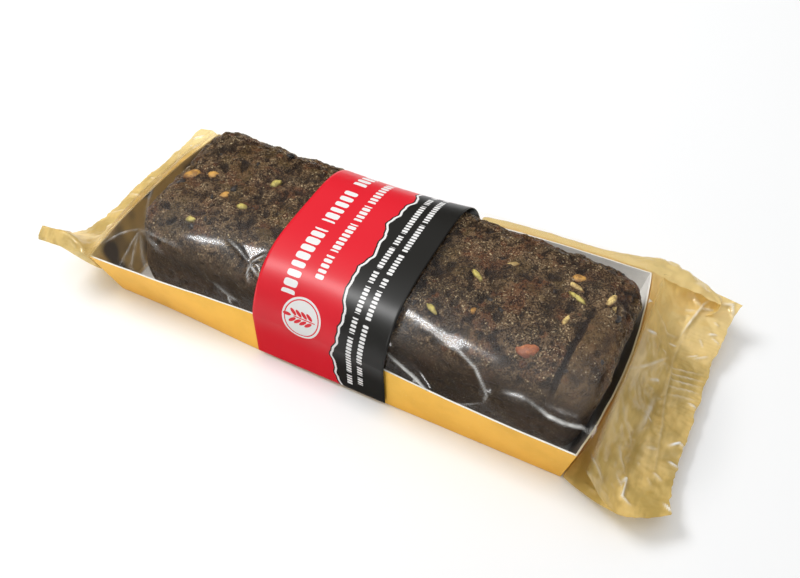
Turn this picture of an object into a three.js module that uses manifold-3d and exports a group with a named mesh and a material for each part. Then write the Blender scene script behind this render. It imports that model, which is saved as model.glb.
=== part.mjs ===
// A fruit loaf in its shelf pack. A dark, nutty loaf stands in a shallow card tray, a film bag goes over
// both and is sealed flat at its two ends, and a printed paper band goes over the middle.
// Millimetres, +Z up. The origin is the middle of the tray's underside, +X runs along the loaf, and the
// long wall at -Y is the front one.
import * as THREE from "three";
import { mergeVertices } from "three/addons/utils/BufferGeometryUtils.js";
import Module from "manifold-3d";

// Card tray: its walls lean out, the band pinches the long walls and the loaf pushes the end walls out.
const TRAY_LENGTH = 190;
const TRAY_WIDTH = 84;
const TRAY_HEIGHT = 20;
const CARD = 0.6;
const WALL_LEAN = 3.4;
const PINCH_DEPTH = 4.2;
const PINCH_MIDDLE = -8;
const PINCH_REACH = 52;
const RIGHT_BULGE = 4.1;
const LEFT_BULGE = 3.2;

// Loaf: a pan loaf, a little wider at its foot, with round shoulders, lying slightly askew.
const LOAF_LEFT = -85;
const LOAF_RIGHT = 96.8;
const LOAF_WIDTH = 63;
const LOAF_HEIGHT = 37.3;
const SHOULDER_RADIUS = 14;
const RIGHT_END_RADIUS = 8;
const FOOT_RADIUS = 5;
const FOOT_SPREAD = 0.05;
const RIGHT_NARROWING = { near: 3.2, far: 1.2 };
const RIGHT_END_LEAN = 7;
const RIGHT_LEAN_POWER = 2;
const LOAF_SHIFT = 0.4;
const LOAF_SKEW = -0.022;
const CROWN_DROP = 1.6;
const LUMP_DEPTH = 0.4;
const LUMP_SIZE = 9;
const SMALL_LUMP_SHARE = 0.6;

// Where the loaf's form changes, from -1 to 1 along it and up it, or from 0 to 1 of its height.
const NARROWING_RUN = [0.1, 0.9];
const LEAN_RUN = [0.7, 1];
const ROUNDING_RUN = [-0.6, 0.3];
const LUMP_HEIGHTS = [0, 0.2];
const CROWN_HEIGHTS = [0.6, 1];

// Split across the loaf near its right end.
const SPLIT_X = 82;
const SPLIT_MIDDLE_Y = -19;
const SPLIT_LENGTH = 30;
const SPLIT_WIDTH = 2.2;
const SPLIT_DEPTH = 5;
const SPLIT_BOTTOM = 35.4;
const SPLIT_TILT = 0.2;

// Film bag: an arch over the loaf, two sloping ends and two flat sealed fins with curled corners.
const FILM = 0.8;
const FILM_CREST = 40.4;
const ARCH_POWER = 4;
const BAND_ARCH_ROOT = 0.744;
const TAUT_ARCH_ROOT = 1;
const TAUT_FROM = 48;
const LEFT_SLOPE = { from: -70, power: 2.2 };
const RIGHT_SLOPE = { from: 86, power: 7 };
const LEFT_FIN = {
  edge: -114.5,
  skew: 0,
  height: 9.5,
  foot: 12,
  near: { halfWidth: 39, reach: 5.5, curl: 14, hump: 0, bulge: 0 },
  far: { halfWidth: 47, reach: -4, curl: 5, hump: 0, bulge: 0 },
};
const RIGHT_FIN = {
  edge: 124.8,
  skew: 0.8,
  height: 5,
  foot: 1,
  near: { halfWidth: 39, reach: 2.2, curl: 3, hump: 0, bulge: 6 },
  far: { halfWidth: 50, reach: 3, curl: 8, hump: 4, bulge: 0 },
};
const CURL_POWER = 5;
const FLARE_POWER = 4;
const SEAL_START = 0.52;
const SEAL_RISE = 3;
const UPPER_FALL_POWER = 1.3;
const LOWER_FALL_POWER = 1.4;
const WALL_STEPS_SHARE = 0.25;
const FOLD_DEPTH = 0.9;
const FOLD_COUNT = 4;

// Slack film behind the back wall: a pillow that grows from a point beside the band to the right end.
const PUFF_START = 32;
const PUFF_LEFT = 40;
const PUFF_WIDEST = 104;
const PUFF_RIGHT = 114;
const PUFF_END_LENGTH = 12;
const PUFF_WIDTH = 9;
const PUFF_TOP = 22;
const PUFF_DEPTH = 10;
const PUFF_ROUNDNESS = 0.5;

// Paper band over the film and down both long walls.
const BAND_LEFT = -24;
const BAND_RIGHT = 28;
const BAND = 0.4;
const BAND_FOOT = 1.5;

// Clearances between neighbours.
const GAP = 0.3;
const BAND_GAP = 0.5;
const WALL_GAP = 0.6;

// Nut, seed and fruit pieces that stand out of the loaf's top: x, y, length, width and turn in degrees.
const PIECE_RISE = 0.5;
const PIECE_FLATNESS = 0.8;
const LARGE_PIECES = [
  [70, -24, 8.5, 6, 20],
  [87, 7, 7, 5, 70],
  [75, 13, 6, 4.5, 10],
  [75, 8.5, 7, 2.6, -20],
  [77, 3.5, 7.5, 2.2, -25],
  [77, -8, 4.5, 3, 80],
  [44, -2.5, 6, 2.6, -35],
  [48, -17, 5, 3.4, 60],
  [53, 8.5, 4, 3, 0],
  [36, -22, 5.5, 3.2, -30],
  [-73, -1.5, 7, 5, 40],
  [-66, 2, 5, 4, 10],
  [-55, -6, 5, 3.5, 50],
  [-46, -8.5, 4.5, 3, 0],
  [-60, -21, 4.5, 3, 30],
  [-42, 8, 5, 3.2, 70],
];
const SMALL_PIECE_COUNT = 18;
const SMALL_PIECE_LENGTHS = [2.1, 3.6];
const SMALL_PIECE_SLIMNESS = 0.7;
const SMALL_PIECE_ROWS = [-20, 18];
const SMALL_PIECE_SEED = 7;
const GOLDEN_SHARE = 0.618;

const HALF_LENGTH = TRAY_LENGTH / 2;
const HALF_WIDTH = TRAY_WIDTH / 2;
const LOAF_FOOT = CARD + GAP;
const FILM_FOOT = TRAY_HEIGHT + GAP;
const BAND_MIDDLE = (BAND_LEFT + BAND_RIGHT) / 2;
const BAND_HALF_LENGTH = (BAND_RIGHT - BAND_LEFT) / 2;

// How finely the bodies are split: along X, along Y and up.
const TRAY_GRID = [14, 8, 1];
const LOAF_GRID = [38, 17, 9];
const PUFF_GRID = [16, 3, 3];
const PIECE_SIDES = 6;
const PIECE_RINGS = 4;
const WELD_DISTANCE = 1e-4;

const wasm = await Module();
wasm.setup();

const mix = THREE.MathUtils.lerp;
const clamp = THREE.MathUtils.clamp;
const smoothstep = THREE.MathUtils.smoothstep;

// Keeps only the positions of a geometry and joins the points that coincide.
function welded(geometry) {
  geometry.deleteAttribute("normal");
  geometry.deleteAttribute("uv");
  return mergeVertices(geometry, WELD_DISTANCE);
}

function toSolid(geometry) {
  return new wasm.Manifold(
    new wasm.Mesh({
      numProp: 3,
      vertProperties: new Float32Array(geometry.getAttribute("position").array),
      triVerts: new Uint32Array(geometry.index.array),
    }),
  );
}

function toGeometry(solid) {
  const mesh = solid.getMesh();
  const geometry = new THREE.BufferGeometry();
  geometry.setAttribute("position", new THREE.BufferAttribute(mesh.vertProperties, 3));
  geometry.setIndex(new THREE.BufferAttribute(mesh.triVerts, 1));
  return geometry;
}

// A closed body pressed from a box: each point of the box's skin, as u, v and w from -1 to 1, goes to
// the place that the rule gives.
function pressedBox(grid, place) {
  const body = welded(new THREE.BoxGeometry(2, 2, 2, ...grid));
  const points = body.getAttribute("position");
  for (let i = 0; i < points.count; i += 1) {
    const point = place(points.getX(i), points.getY(i), points.getZ(i));
    points.setXYZ(i, point.x, point.y, point.z);
  }
  return body;
}

// A thin closed body between two faces, each a rule for u and v from -1 to 1. Both faces are split into
// triangles alike, so they keep their distance, and a strip closes the edge.
function thinSolid(columns, rows, upper, lower) {
  const plane = new THREE.PlaneGeometry(2, 2, columns, rows);
  const grid = plane.getAttribute("position");
  const count = grid.count;
  const points = [];
  for (const face of [upper, lower]) {
    for (let i = 0; i < count; i += 1) {
      points.push(face(grid.getX(i), grid.getY(i)));
    }
  }
  const triangles = [];
  const index = plane.index.array;
  for (let i = 0; i < index.length; i += 3) {
    triangles.push(index[i], index[i + 1], index[i + 2]);
    triangles.push(count + index[i], count + index[i + 2], count + index[i + 1]);
  }
  const edge = edgeOf(columns, rows);
  edge.forEach((a, i) => {
    const b = edge[(i + 1) % edge.length];
    triangles.push(b, a, count + a);
    triangles.push(b, count + a, count + b);
  });
  const geometry = new THREE.BufferGeometry().setFromPoints(points);
  geometry.setIndex(triangles);
  return geometry;
}

// The point numbers along the edge of a plane's grid, anticlockwise from its lower left corner.
function edgeOf(columns, rows) {
  const at = (column, row) => column + row * (columns + 1);
  const edge = [];
  for (let i = 0; i < columns; i += 1) edge.push(at(i, rows));
  for (let i = rows; i > 0; i -= 1) edge.push(at(columns, i));
  for (let i = columns; i > 0; i -= 1) edge.push(at(i, 0));
  for (let i = 0; i < rows; i += 1) edge.push(at(0, i));
  return edge;
}

// How far a long wall's rim is drawn in at x.
function pinch(x) {
  return PINCH_DEPTH * Math.exp(-(((x - PINCH_MIDDLE) / PINCH_REACH) ** 2));
}

// How far an end wall's rim bulges out at y, on the side that the sign of u names.
function bulge(u, y) {
  const depth = u < 0 ? LEFT_BULGE : RIGHT_BULGE;
  return depth * (1 - Math.min(1, Math.abs(y) / HALF_WIDTH) ** 2);
}

// Half the tray's outer width at x and height z, and its half length at y and height z.
function wallY(x, z) {
  return HALF_WIDTH - WALL_LEAN + (z / TRAY_HEIGHT) * (WALL_LEAN - pinch(x));
}

function wallX(u, y, z) {
  return HALF_LENGTH - WALL_LEAN + (z / TRAY_HEIGHT) * (WALL_LEAN + bulge(u, y));
}

// A block with the tray's leaning, bowed sides, drawn in by an inset.
function trayBlock(inset, bottom, top) {
  return pressedBox(TRAY_GRID, (u, v, w) => {
    const z = w < 0 ? bottom : top;
    const x = u * (wallX(u, v * HALF_WIDTH, z) - inset);
    const y = v * (wallY(u * HALF_LENGTH, z) - inset);
    return new THREE.Vector3(x, y, z);
  });
}

function buildTray() {
  const block = toSolid(trayBlock(0, 0, TRAY_HEIGHT));
  const hollow = toSolid(trayBlock(CARD, CARD, TRAY_HEIGHT + CARD));
  return toGeometry(block.subtract(hollow));
}

// A repeatable number from 0 to 1 for a grid cell: the far decimals of a wave of uneven lengths.
const CELL_WAVES = [127.1, 311.7, 74.7];
const CELL_HEIGHT = 43758.5453;

function cellValue(...cell) {
  const wave = CELL_HEIGHT * Math.sin(cell.reduce((sum, c, i) => sum + c * CELL_WAVES[i], 0));
  return wave - Math.floor(wave);
}

// Smooth lumps from -1 to 1 with the given size.
function lumps(point, size) {
  const cell = [point.x, point.y, point.z].map((c) => Math.floor(c / size));
  const part = [point.x, point.y, point.z].map((c, i) => smoothstep(c / size - cell[i], 0, 1));
  let sum = 0;
  for (let corner = 0; corner < 8; corner += 1) {
    const step = [corner & 1, (corner >> 1) & 1, (corner >> 2) & 1];
    const weight = step.reduce((product, s, i) => product * (s ? part[i] : 1 - part[i]), 1);
    sum += weight * cellValue(...cell.map((c, i) => c + step[i]));
  }
  return 2 * sum - 1;
}

// A point of the loaf's skin for u, v and w from -1 to 1: a round-edged block, spread at its foot, set
// askew and roughened by lumps. Its right end has tighter edges and leans out to the top.
function loafPoint(u, v, w) {
  const narrowing = v < 0 ? RIGHT_NARROWING.near : RIGHT_NARROWING.far;
  const half = new THREE.Vector3(
    (LOAF_RIGHT - LOAF_LEFT) / 2,
    LOAF_WIDTH / 2 - narrowing * smoothstep(u, ...NARROWING_RUN),
    LOAF_HEIGHT / 2,
  );
  const round = mix(FOOT_RADIUS, SHOULDER_RADIUS, smoothstep(w, ...ROUNDING_RUN));
  const radius = new THREE.Vector3(u > 0 ? Math.min(round, RIGHT_END_RADIUS) : round, round, round);
  const point = new THREE.Vector3(u, v, w).multiply(half);
  const core = half.clone().sub(radius);
  const inner = point.clone().clamp(core.clone().negate(), core);
  const outward = point.clone().sub(inner).divide(radius).normalize();
  point.copy(inner).add(radius.multiply(outward));
  const height = point.z / LOAF_HEIGHT + 0.5;
  const spread = 1 + FOOT_SPREAD * (1 - height);
  const rough = lumps(point, LUMP_SIZE) + SMALL_LUMP_SHARE * lumps(point, LUMP_SIZE / 2);
  point.addScaledVector(outward, LUMP_DEPTH * rough * smoothstep(height, ...LUMP_HEIGHTS));
  const lean = RIGHT_END_LEAN * (1 - height) ** RIGHT_LEAN_POWER * smoothstep(u, ...LEAN_RUN);
  point.x += (LOAF_LEFT + LOAF_RIGHT) / 2 - lean;
  point.y = point.y * spread + LOAF_SHIFT + LOAF_SKEW * point.x;
  point.z += LOAF_HEIGHT / 2 + LOAF_FOOT - CROWN_DROP * v * v * smoothstep(height, ...CROWN_HEIGHTS);
  return point;
}

// Height of the loaf's top at x and y, inside its shoulders.
function loafTop(x, y) {
  const u = clamp((2 * (x - LOAF_LEFT)) / (LOAF_RIGHT - LOAF_LEFT) - 1, -1, 1);
  const v = clamp((2 * (y - LOAF_SHIFT - LOAF_SKEW * x)) / LOAF_WIDTH, -1, 1);
  return loafPoint(u, v, 1).z;
}

// A nut, seed or fruit piece as a round lump, half sunk in the loaf's top.
function fruitPiece([x, y, length, width, turn]) {
  const piece = welded(new THREE.SphereGeometry(0.5, PIECE_SIDES, PIECE_RINGS));
  const height = width * PIECE_FLATNESS;
  piece.rotateX(Math.PI / 2);
  piece.scale(length, width, height);
  piece.rotateZ(THREE.MathUtils.degToRad(turn));
  piece.translate(x, y, loafTop(x, y) + PIECE_RISE - height / 2);
  return piece;
}

// Small pieces spread evenly over the top: one in each cell of a strip, shifted by seeded draws.
function smallPieces() {
  const pieces = [];
  const span = (LOAF_RIGHT - LOAF_LEFT - 2 * SHOULDER_RADIUS) / SMALL_PIECE_COUNT;
  for (let i = 0; i < SMALL_PIECE_COUNT; i += 1) {
    const draw = (k) => cellValue(i, k, SMALL_PIECE_SEED);
    const x = LOAF_LEFT + SHOULDER_RADIUS + span * (i + draw(1));
    const y = mix(...SMALL_PIECE_ROWS, (i * GOLDEN_SHARE) % 1);
    const length = mix(...SMALL_PIECE_LENGTHS, draw(2));
    pieces.push([x, y, length, length * SMALL_PIECE_SLIMNESS, 180 * draw(3)]);
  }
  return pieces;
}

// The split is a thin wedge that dips towards the front shoulder.
function splitWedge() {
  const outline = new THREE.Shape();
  outline.moveTo(0, 0);
  outline.lineTo(SPLIT_WIDTH / 2, SPLIT_DEPTH);
  outline.lineTo(-SPLIT_WIDTH / 2, SPLIT_DEPTH);
  const wedge = new THREE.ExtrudeGeometry(outline, { depth: SPLIT_LENGTH, bevelEnabled: false });
  wedge.translate(0, 0, -SPLIT_LENGTH / 2);
  wedge.rotateX(Math.PI / 2);
  wedge.rotateX(SPLIT_TILT);
  wedge.translate(SPLIT_X, SPLIT_MIDDLE_Y, SPLIT_BOTTOM);
  return welded(wedge);
}

function buildLoaf() {
  let loaf = toSolid(pressedBox(LOAF_GRID, loafPoint)).subtract(toSolid(splitWedge()));
  for (const piece of [...LARGE_PIECES, ...smallPieces()]) {
    loaf = loaf.add(toSolid(fruitPiece(piece)));
  }
  return toGeometry(loaf);
}

// Height of the bag's spine at x: level over the loaf, falling to the rims of the end walls.
function spine(x, rimX) {
  const slope = x < 0 ? LEFT_SLOPE : RIGHT_SLOPE;
  const run = clamp((x - slope.from) / (rimX - slope.from), 0, 1);
  return mix(FILM_CREST, FILM_FOOT + FILM, run ** slope.power);
}

// A share of the arch's height at x and a share of its half width: full under the band, and drawn down
// on the loaf's shoulders beside it.
function arch(x, share) {
  const beside = Math.abs(x - BAND_MIDDLE);
  const root = mix(BAND_ARCH_ROOT, TAUT_ARCH_ROOT, smoothstep(beside, BAND_HALF_LENGTH, TAUT_FROM));
  return (1 - Math.min(1, Math.abs(share)) ** ARCH_POWER) ** root;
}

// The bag's grid, and the share of its columns that lies over the tray.
const FIN_COLUMNS = 8;
const BODY_COLUMNS = 40;
const BAG_COLUMNS = BODY_COLUMNS + 2 * FIN_COLUMNS;
const BAG_ROWS = 22;
const BODY_SHARE = BODY_COLUMNS / BAG_COLUMNS;
const SAME_PLACE = 1e-6;

// A point of the bag over the tray, moved in by an inset.
function bagBody(u, v, inset) {
  const across = Math.sin((v * Math.PI) / 2);
  const rimY = across * HALF_WIDTH;
  const left = -wallX(-1, rimY, FILM_FOOT) - WALL_GAP;
  const right = wallX(1, rimY, FILM_FOOT) + WALL_GAP;
  const x = mix(left, right, (u / BODY_SHARE + 1) / 2);
  const top = spine(x, x < 0 ? left : right) - inset;
  const y = across * (wallY(x, TRAY_HEIGHT) - inset);
  return new THREE.Vector3(x, y, mix(FILM_FOOT, top, arch(x, across)));
}

// The place of a fin's outer edge at v, with corners that curl up and may reach out.
function finEdge(fin, v) {
  const side = v < 0 ? fin.near : fin.far;
  const corner = Math.abs(v) ** CURL_POWER;
  const x = fin.edge + fin.skew * v + Math.sign(fin.edge) * side.reach * corner;
  return new THREE.Vector3(x, v * side.halfWidth, fin.height + side.curl * corner);
}

// How much of a fin's width is reached at a share of the way from the wall to its edge.
function flare(share) {
  return 1 - (1 - share) ** FLARE_POWER;
}

// How far a fin's side stands out beyond a straight one, from the wall to its edge.
function sideBulge(fin, v, share) {
  const side = v < 0 ? fin.near : fin.far;
  return v * side.bulge * Math.sin(share * Math.PI);
}

// A point of the bag's upper web beyond an end wall: it slopes from the rim to the seal, then runs flat.
function endUpper(u, v, share) {
  const fin = u < 0 ? LEFT_FIN : RIGHT_FIN;
  const edge = finEdge(fin, v);
  const start = bagBody(Math.sign(u) * BODY_SHARE, v, 0);
  const fall = share < SEAL_START ? 1 - share / SEAL_START : 0;
  const middle = Math.sin(share * Math.PI);
  const hump = (v < 0 ? fin.near : fin.far).hump * Math.abs(v) ** CURL_POWER * middle;
  const fold = FOLD_DEPTH * Math.cos(v * FOLD_COUNT * Math.PI) * middle ** 2 * (1 - v * v);
  const seal = edge.z + SEAL_RISE * (1 - share) + hump;
  const y = mix(start.y, edge.y, flare(share)) + sideBulge(fin, v, share);
  const z = mix(seal, start.z, fall ** UPPER_FALL_POWER) - fold;
  return new THREE.Vector3(mix(start.x, edge.x, share), y, z);
}

// A point of the bag's lower web: down the outside of the end wall, then out to the fin.
function endLower(u, v, share) {
  const fin = u < 0 ? LEFT_FIN : RIGHT_FIN;
  const side = Math.sign(u);
  const edge = finEdge(fin, v);
  const down = Math.min(1, share / WALL_STEPS_SHARE);
  const out = Math.max(0, (share - WALL_STEPS_SHARE) / (1 - WALL_STEPS_SHARE));
  const across = Math.sin((v * Math.PI) / 2);
  const wallZ = mix(FILM_FOOT, fin.foot, down);
  const wall = side * (wallX(u, across * HALF_WIDTH, wallZ) + WALL_GAP);
  const wallHalf = wallY(side * HALF_LENGTH, wallZ) - (down > 0 ? 0 : FILM);
  const x = mix(wall, edge.x, out);
  const y = mix(across * wallHalf, edge.y, flare(out)) + sideBulge(fin, v, out);
  return new THREE.Vector3(x, y, mix(wallZ, edge.z - FILM, out ** LOWER_FALL_POWER));
}

// How far u lies beyond the rim of an end wall, as a share of the way to the fin's edge.
function endShare(u) {
  return (Math.abs(u) - BODY_SHARE) / (1 - BODY_SHARE);
}

function bagUpper(u, v) {
  const share = endShare(u);
  return share > SAME_PLACE ? endUpper(u, v, share) : bagBody(u, v, 0);
}

function bagLower(u, v) {
  const share = endShare(u);
  return share > -SAME_PLACE ? endLower(u, v, Math.max(0, share)) : bagBody(u, v, FILM);
}

// The slack film behind the back wall, flat on the wall's side and round on the other.
function backPuff() {
  return pressedBox(PUFF_GRID, (u, v, w) => {
    const x = mix(PUFF_LEFT, PUFF_RIGHT, (u + 1) / 2);
    const growth = (x - PUFF_START) / (PUFF_WIDEST - PUFF_START);
    const end = Math.max(0, x - PUFF_WIDEST) / PUFF_END_LENGTH;
    const size = Math.min(growth, Math.sqrt(1 - end * end));
    const z = PUFF_TOP - (PUFF_DEPTH * size * (1 - w)) / 2;
    const width = PUFF_WIDTH * size * (1 - PUFF_ROUNDNESS * w * w);
    return new THREE.Vector3(x, wallY(x, z) + WALL_GAP + (width * (v + 1)) / 2, z);
  });
}

function buildBag() {
  const bag = toSolid(thinSolid(BAG_COLUMNS, BAG_ROWS, bagUpper, bagLower));
  return toGeometry(bag.add(toSolid(backPuff())));
}

const WALL_ROWS = 3;
const BAND_ROWS = BAG_ROWS + 2 * WALL_ROWS;
const BAND_COLUMNS = 6;
const ARCH_SHARE = BAG_ROWS / BAND_ROWS;

// A face of the band, lifted off the film and the long walls.
function bandFace(lift) {
  return (u, v) => {
    const x = mix(BAND_LEFT, BAND_RIGHT, (u + 1) / 2);
    const across = Math.sin((clamp(v / ARCH_SHARE, -1, 1) * Math.PI) / 2);
    const drop = Math.max(0, (Math.abs(v) - ARCH_SHARE) / (1 - ARCH_SHARE));
    const wallZ = mix(FILM_FOOT, BAND_FOOT, drop);
    const y = across * (wallY(x, wallZ) + lift);
    const crest = mix(FILM_FOOT, FILM_CREST + lift, arch(x, across));
    return new THREE.Vector3(x, y, drop > 0 ? wallZ : crest);
  };
}

function buildBand() {
  return thinSolid(BAND_COLUMNS, BAND_ROWS, bandFace(BAND_GAP + BAND), bandFace(BAND_GAP));
}

function part(name, geometry, look) {
  const mesh = new THREE.Mesh(geometry, new THREE.MeshStandardMaterial(look));
  mesh.name = name;
  geometry.computeVertexNormals();
  return mesh;
}

const pack = new THREE.Group();
pack.add(part("card_tray", buildTray(), { color: 0xe3a63c, roughness: 0.45, metalness: 0.15 }));
pack.add(part("fruit_loaf", buildLoaf(), { color: 0x2e211b, roughness: 0.75 }));
pack.add(part("film_bag", buildBag(), { color: 0xcdb171, roughness: 0.12 }));
pack.add(part("paper_band", buildBand(), { color: 0xd5202f, roughness: 0.3 }));

export default pack;
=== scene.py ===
"""The looks of a fruit loaf in its shelf pack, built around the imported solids.

Sizes are in millimetres and a finished mesh is scaled to metres. +X runs along the loaf, the long wall at
-Y is the front one and +Z is up, as in the solids.
"""

import logging
import math
import random
from dataclasses import dataclass, field
from enum import Enum
from typing import Callable, Optional, Sequence, Union

import bmesh
import bpy
from mathutils import Matrix, Vector, noise


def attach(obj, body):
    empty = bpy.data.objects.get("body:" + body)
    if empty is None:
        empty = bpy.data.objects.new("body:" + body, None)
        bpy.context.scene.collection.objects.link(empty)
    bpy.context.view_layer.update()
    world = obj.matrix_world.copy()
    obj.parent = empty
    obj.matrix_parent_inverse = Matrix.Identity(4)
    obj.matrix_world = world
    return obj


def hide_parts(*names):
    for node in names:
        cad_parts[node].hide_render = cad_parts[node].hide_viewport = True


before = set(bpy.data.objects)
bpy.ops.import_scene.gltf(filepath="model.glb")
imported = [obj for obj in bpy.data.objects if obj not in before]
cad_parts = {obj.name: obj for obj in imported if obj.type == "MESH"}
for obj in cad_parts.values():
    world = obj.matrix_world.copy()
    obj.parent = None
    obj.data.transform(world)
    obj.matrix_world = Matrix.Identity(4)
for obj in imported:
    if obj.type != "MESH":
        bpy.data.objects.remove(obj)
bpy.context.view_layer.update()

MM = 0.001
TINY = 1e-6
BODY = "root"
UV_NAME = "print_mm"
CRAG_NAME = "crag"
# The mesh note of where a painted glint is laid on the film.
GLINT_NAME = "painted_glint"
LOG = logging.getLogger("loaf_pack")

# Sizes that several classes share.
SPLIT_X = 83.6
SPLIT_LEAN = 0.075
BAND_LEFT = -24.0
BAND_RIGHT = 28.0
BAND_MIDDLE = (BAND_LEFT + BAND_RIGHT) / 2
BAND_HALF = (BAND_RIGHT - BAND_LEFT) / 2

# A span is where a smooth rise starts and where it ends. A layer of noise is a height and a size.
Colour = tuple[float, float, float]
Triple = tuple[float, float, float]
Grid = tuple[int, int, int]
Pair = tuple[float, float]
Span = tuple[float, float]
Layers = tuple[Pair, ...]
Rule = Callable[[float, float], Vector]
Relief = Callable[[float, float, Vector], float]


class Slot(Enum):
    """The record's material slots."""

    CARD = "card"
    CRUMB = "crumb"
    FILM = "film"
    PRINT = "print"


class Node(Enum):
    """The solids that the pieces stand for."""

    TRAY = "card_tray"
    LOAF = "fruit_loaf"
    BAG = "film_bag"
    BAND = "paper_band"


class Side(Enum):
    """The two ends of the pack, with the sign of X there."""

    LEFT = -1
    RIGHT = 1


def mix(first: float, second: float, share: float) -> float:
    """Goes from the first number to the second."""
    return first + (second - first) * share


def clamp(value: float, low: float, high: float) -> float:
    """Keeps a number between two others."""
    return max(low, min(high, value))


def smoothstep(value: float, low: float, high: float) -> float:
    """Rises smoothly from 0 at low to 1 at high."""
    share = clamp((value - low) / (high - low), 0.0, 1.0)
    return share * share * (3.0 - 2.0 * share)


def layered(point: Vector, layers: Layers) -> float:
    """Adds up layers of noise, each with its height and its size."""
    return sum(height * noise.noise(point / size) for height, size in layers)


class Value:
    """A shader number: maths on it adds Math nodes to its sheet."""

    def __init__(self, sheet: "NodeSheet", socket: bpy.types.NodeSocket) -> None:
        """Wraps a socket of a sheet."""
        self.sheet = sheet
        self.socket = socket

    def __add__(self, other: "Number") -> "Value":
        """Adds."""
        return self.sheet.math("ADD", self, other)

    __radd__ = __add__

    def __sub__(self, other: "Number") -> "Value":
        """Takes away."""
        return self.sheet.math("SUBTRACT", self, other)

    def __rsub__(self, other: "Number") -> "Value":
        """Is taken away from a number."""
        return self.sheet.math("SUBTRACT", other, self)

    def __mul__(self, other: "Number") -> "Value":
        """Multiplies."""
        return self.sheet.math("MULTIPLY", self, other)

    __rmul__ = __mul__

    def __truediv__(self, other: "Number") -> "Value":
        """Divides."""
        return self.sheet.math("DIVIDE", self, other)

    def __mod__(self, other: "Number") -> "Value":
        """Gives what is left over, from 0 up."""
        return self.sheet.math("FLOORED_MODULO", self, other)

    def __pow__(self, other: "Number") -> "Value":
        """Raises to a power."""
        return self.sheet.math("POWER", self, other)

    def __abs__(self) -> "Value":
        """Drops the sign."""
        return self.sheet.math("ABSOLUTE", self)

    def __lt__(self, other: "Number") -> "Value":
        """Is 1 where it is less, and 0 elsewhere."""
        return self.sheet.math("LESS_THAN", self, other)

    def __gt__(self, other: "Number") -> "Value":
        """Is 1 where it is more, and 0 elsewhere."""
        return self.sheet.math("GREATER_THAN", self, other)

    def highest(self, other: "Number") -> "Value":
        """The larger of two."""
        return self.sheet.math("MAXIMUM", self, other)

    def lowest(self, other: "Number") -> "Value":
        """The smaller of two."""
        return self.sheet.math("MINIMUM", self, other)

    def smooth(self, low: float, high: float) -> "Value":
        """Rises smoothly from 0 to 1.

        Args:
            low: Where it is still 0.
            high: Where it is 1.

        Returns:
            The result.
        """
        node = self.sheet.node(
            "ShaderNodeMapRange",
            {"interpolation_type": "SMOOTHSTEP"},
            {0: self, 1: low, 2: high, 3: 0.0, 4: 1.0},
        )
        return Value(self.sheet, node.outputs[0])


Number = Union[float, Value]
Feed = Union[float, Sequence[float], Value, bpy.types.NodeSocket]


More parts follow.
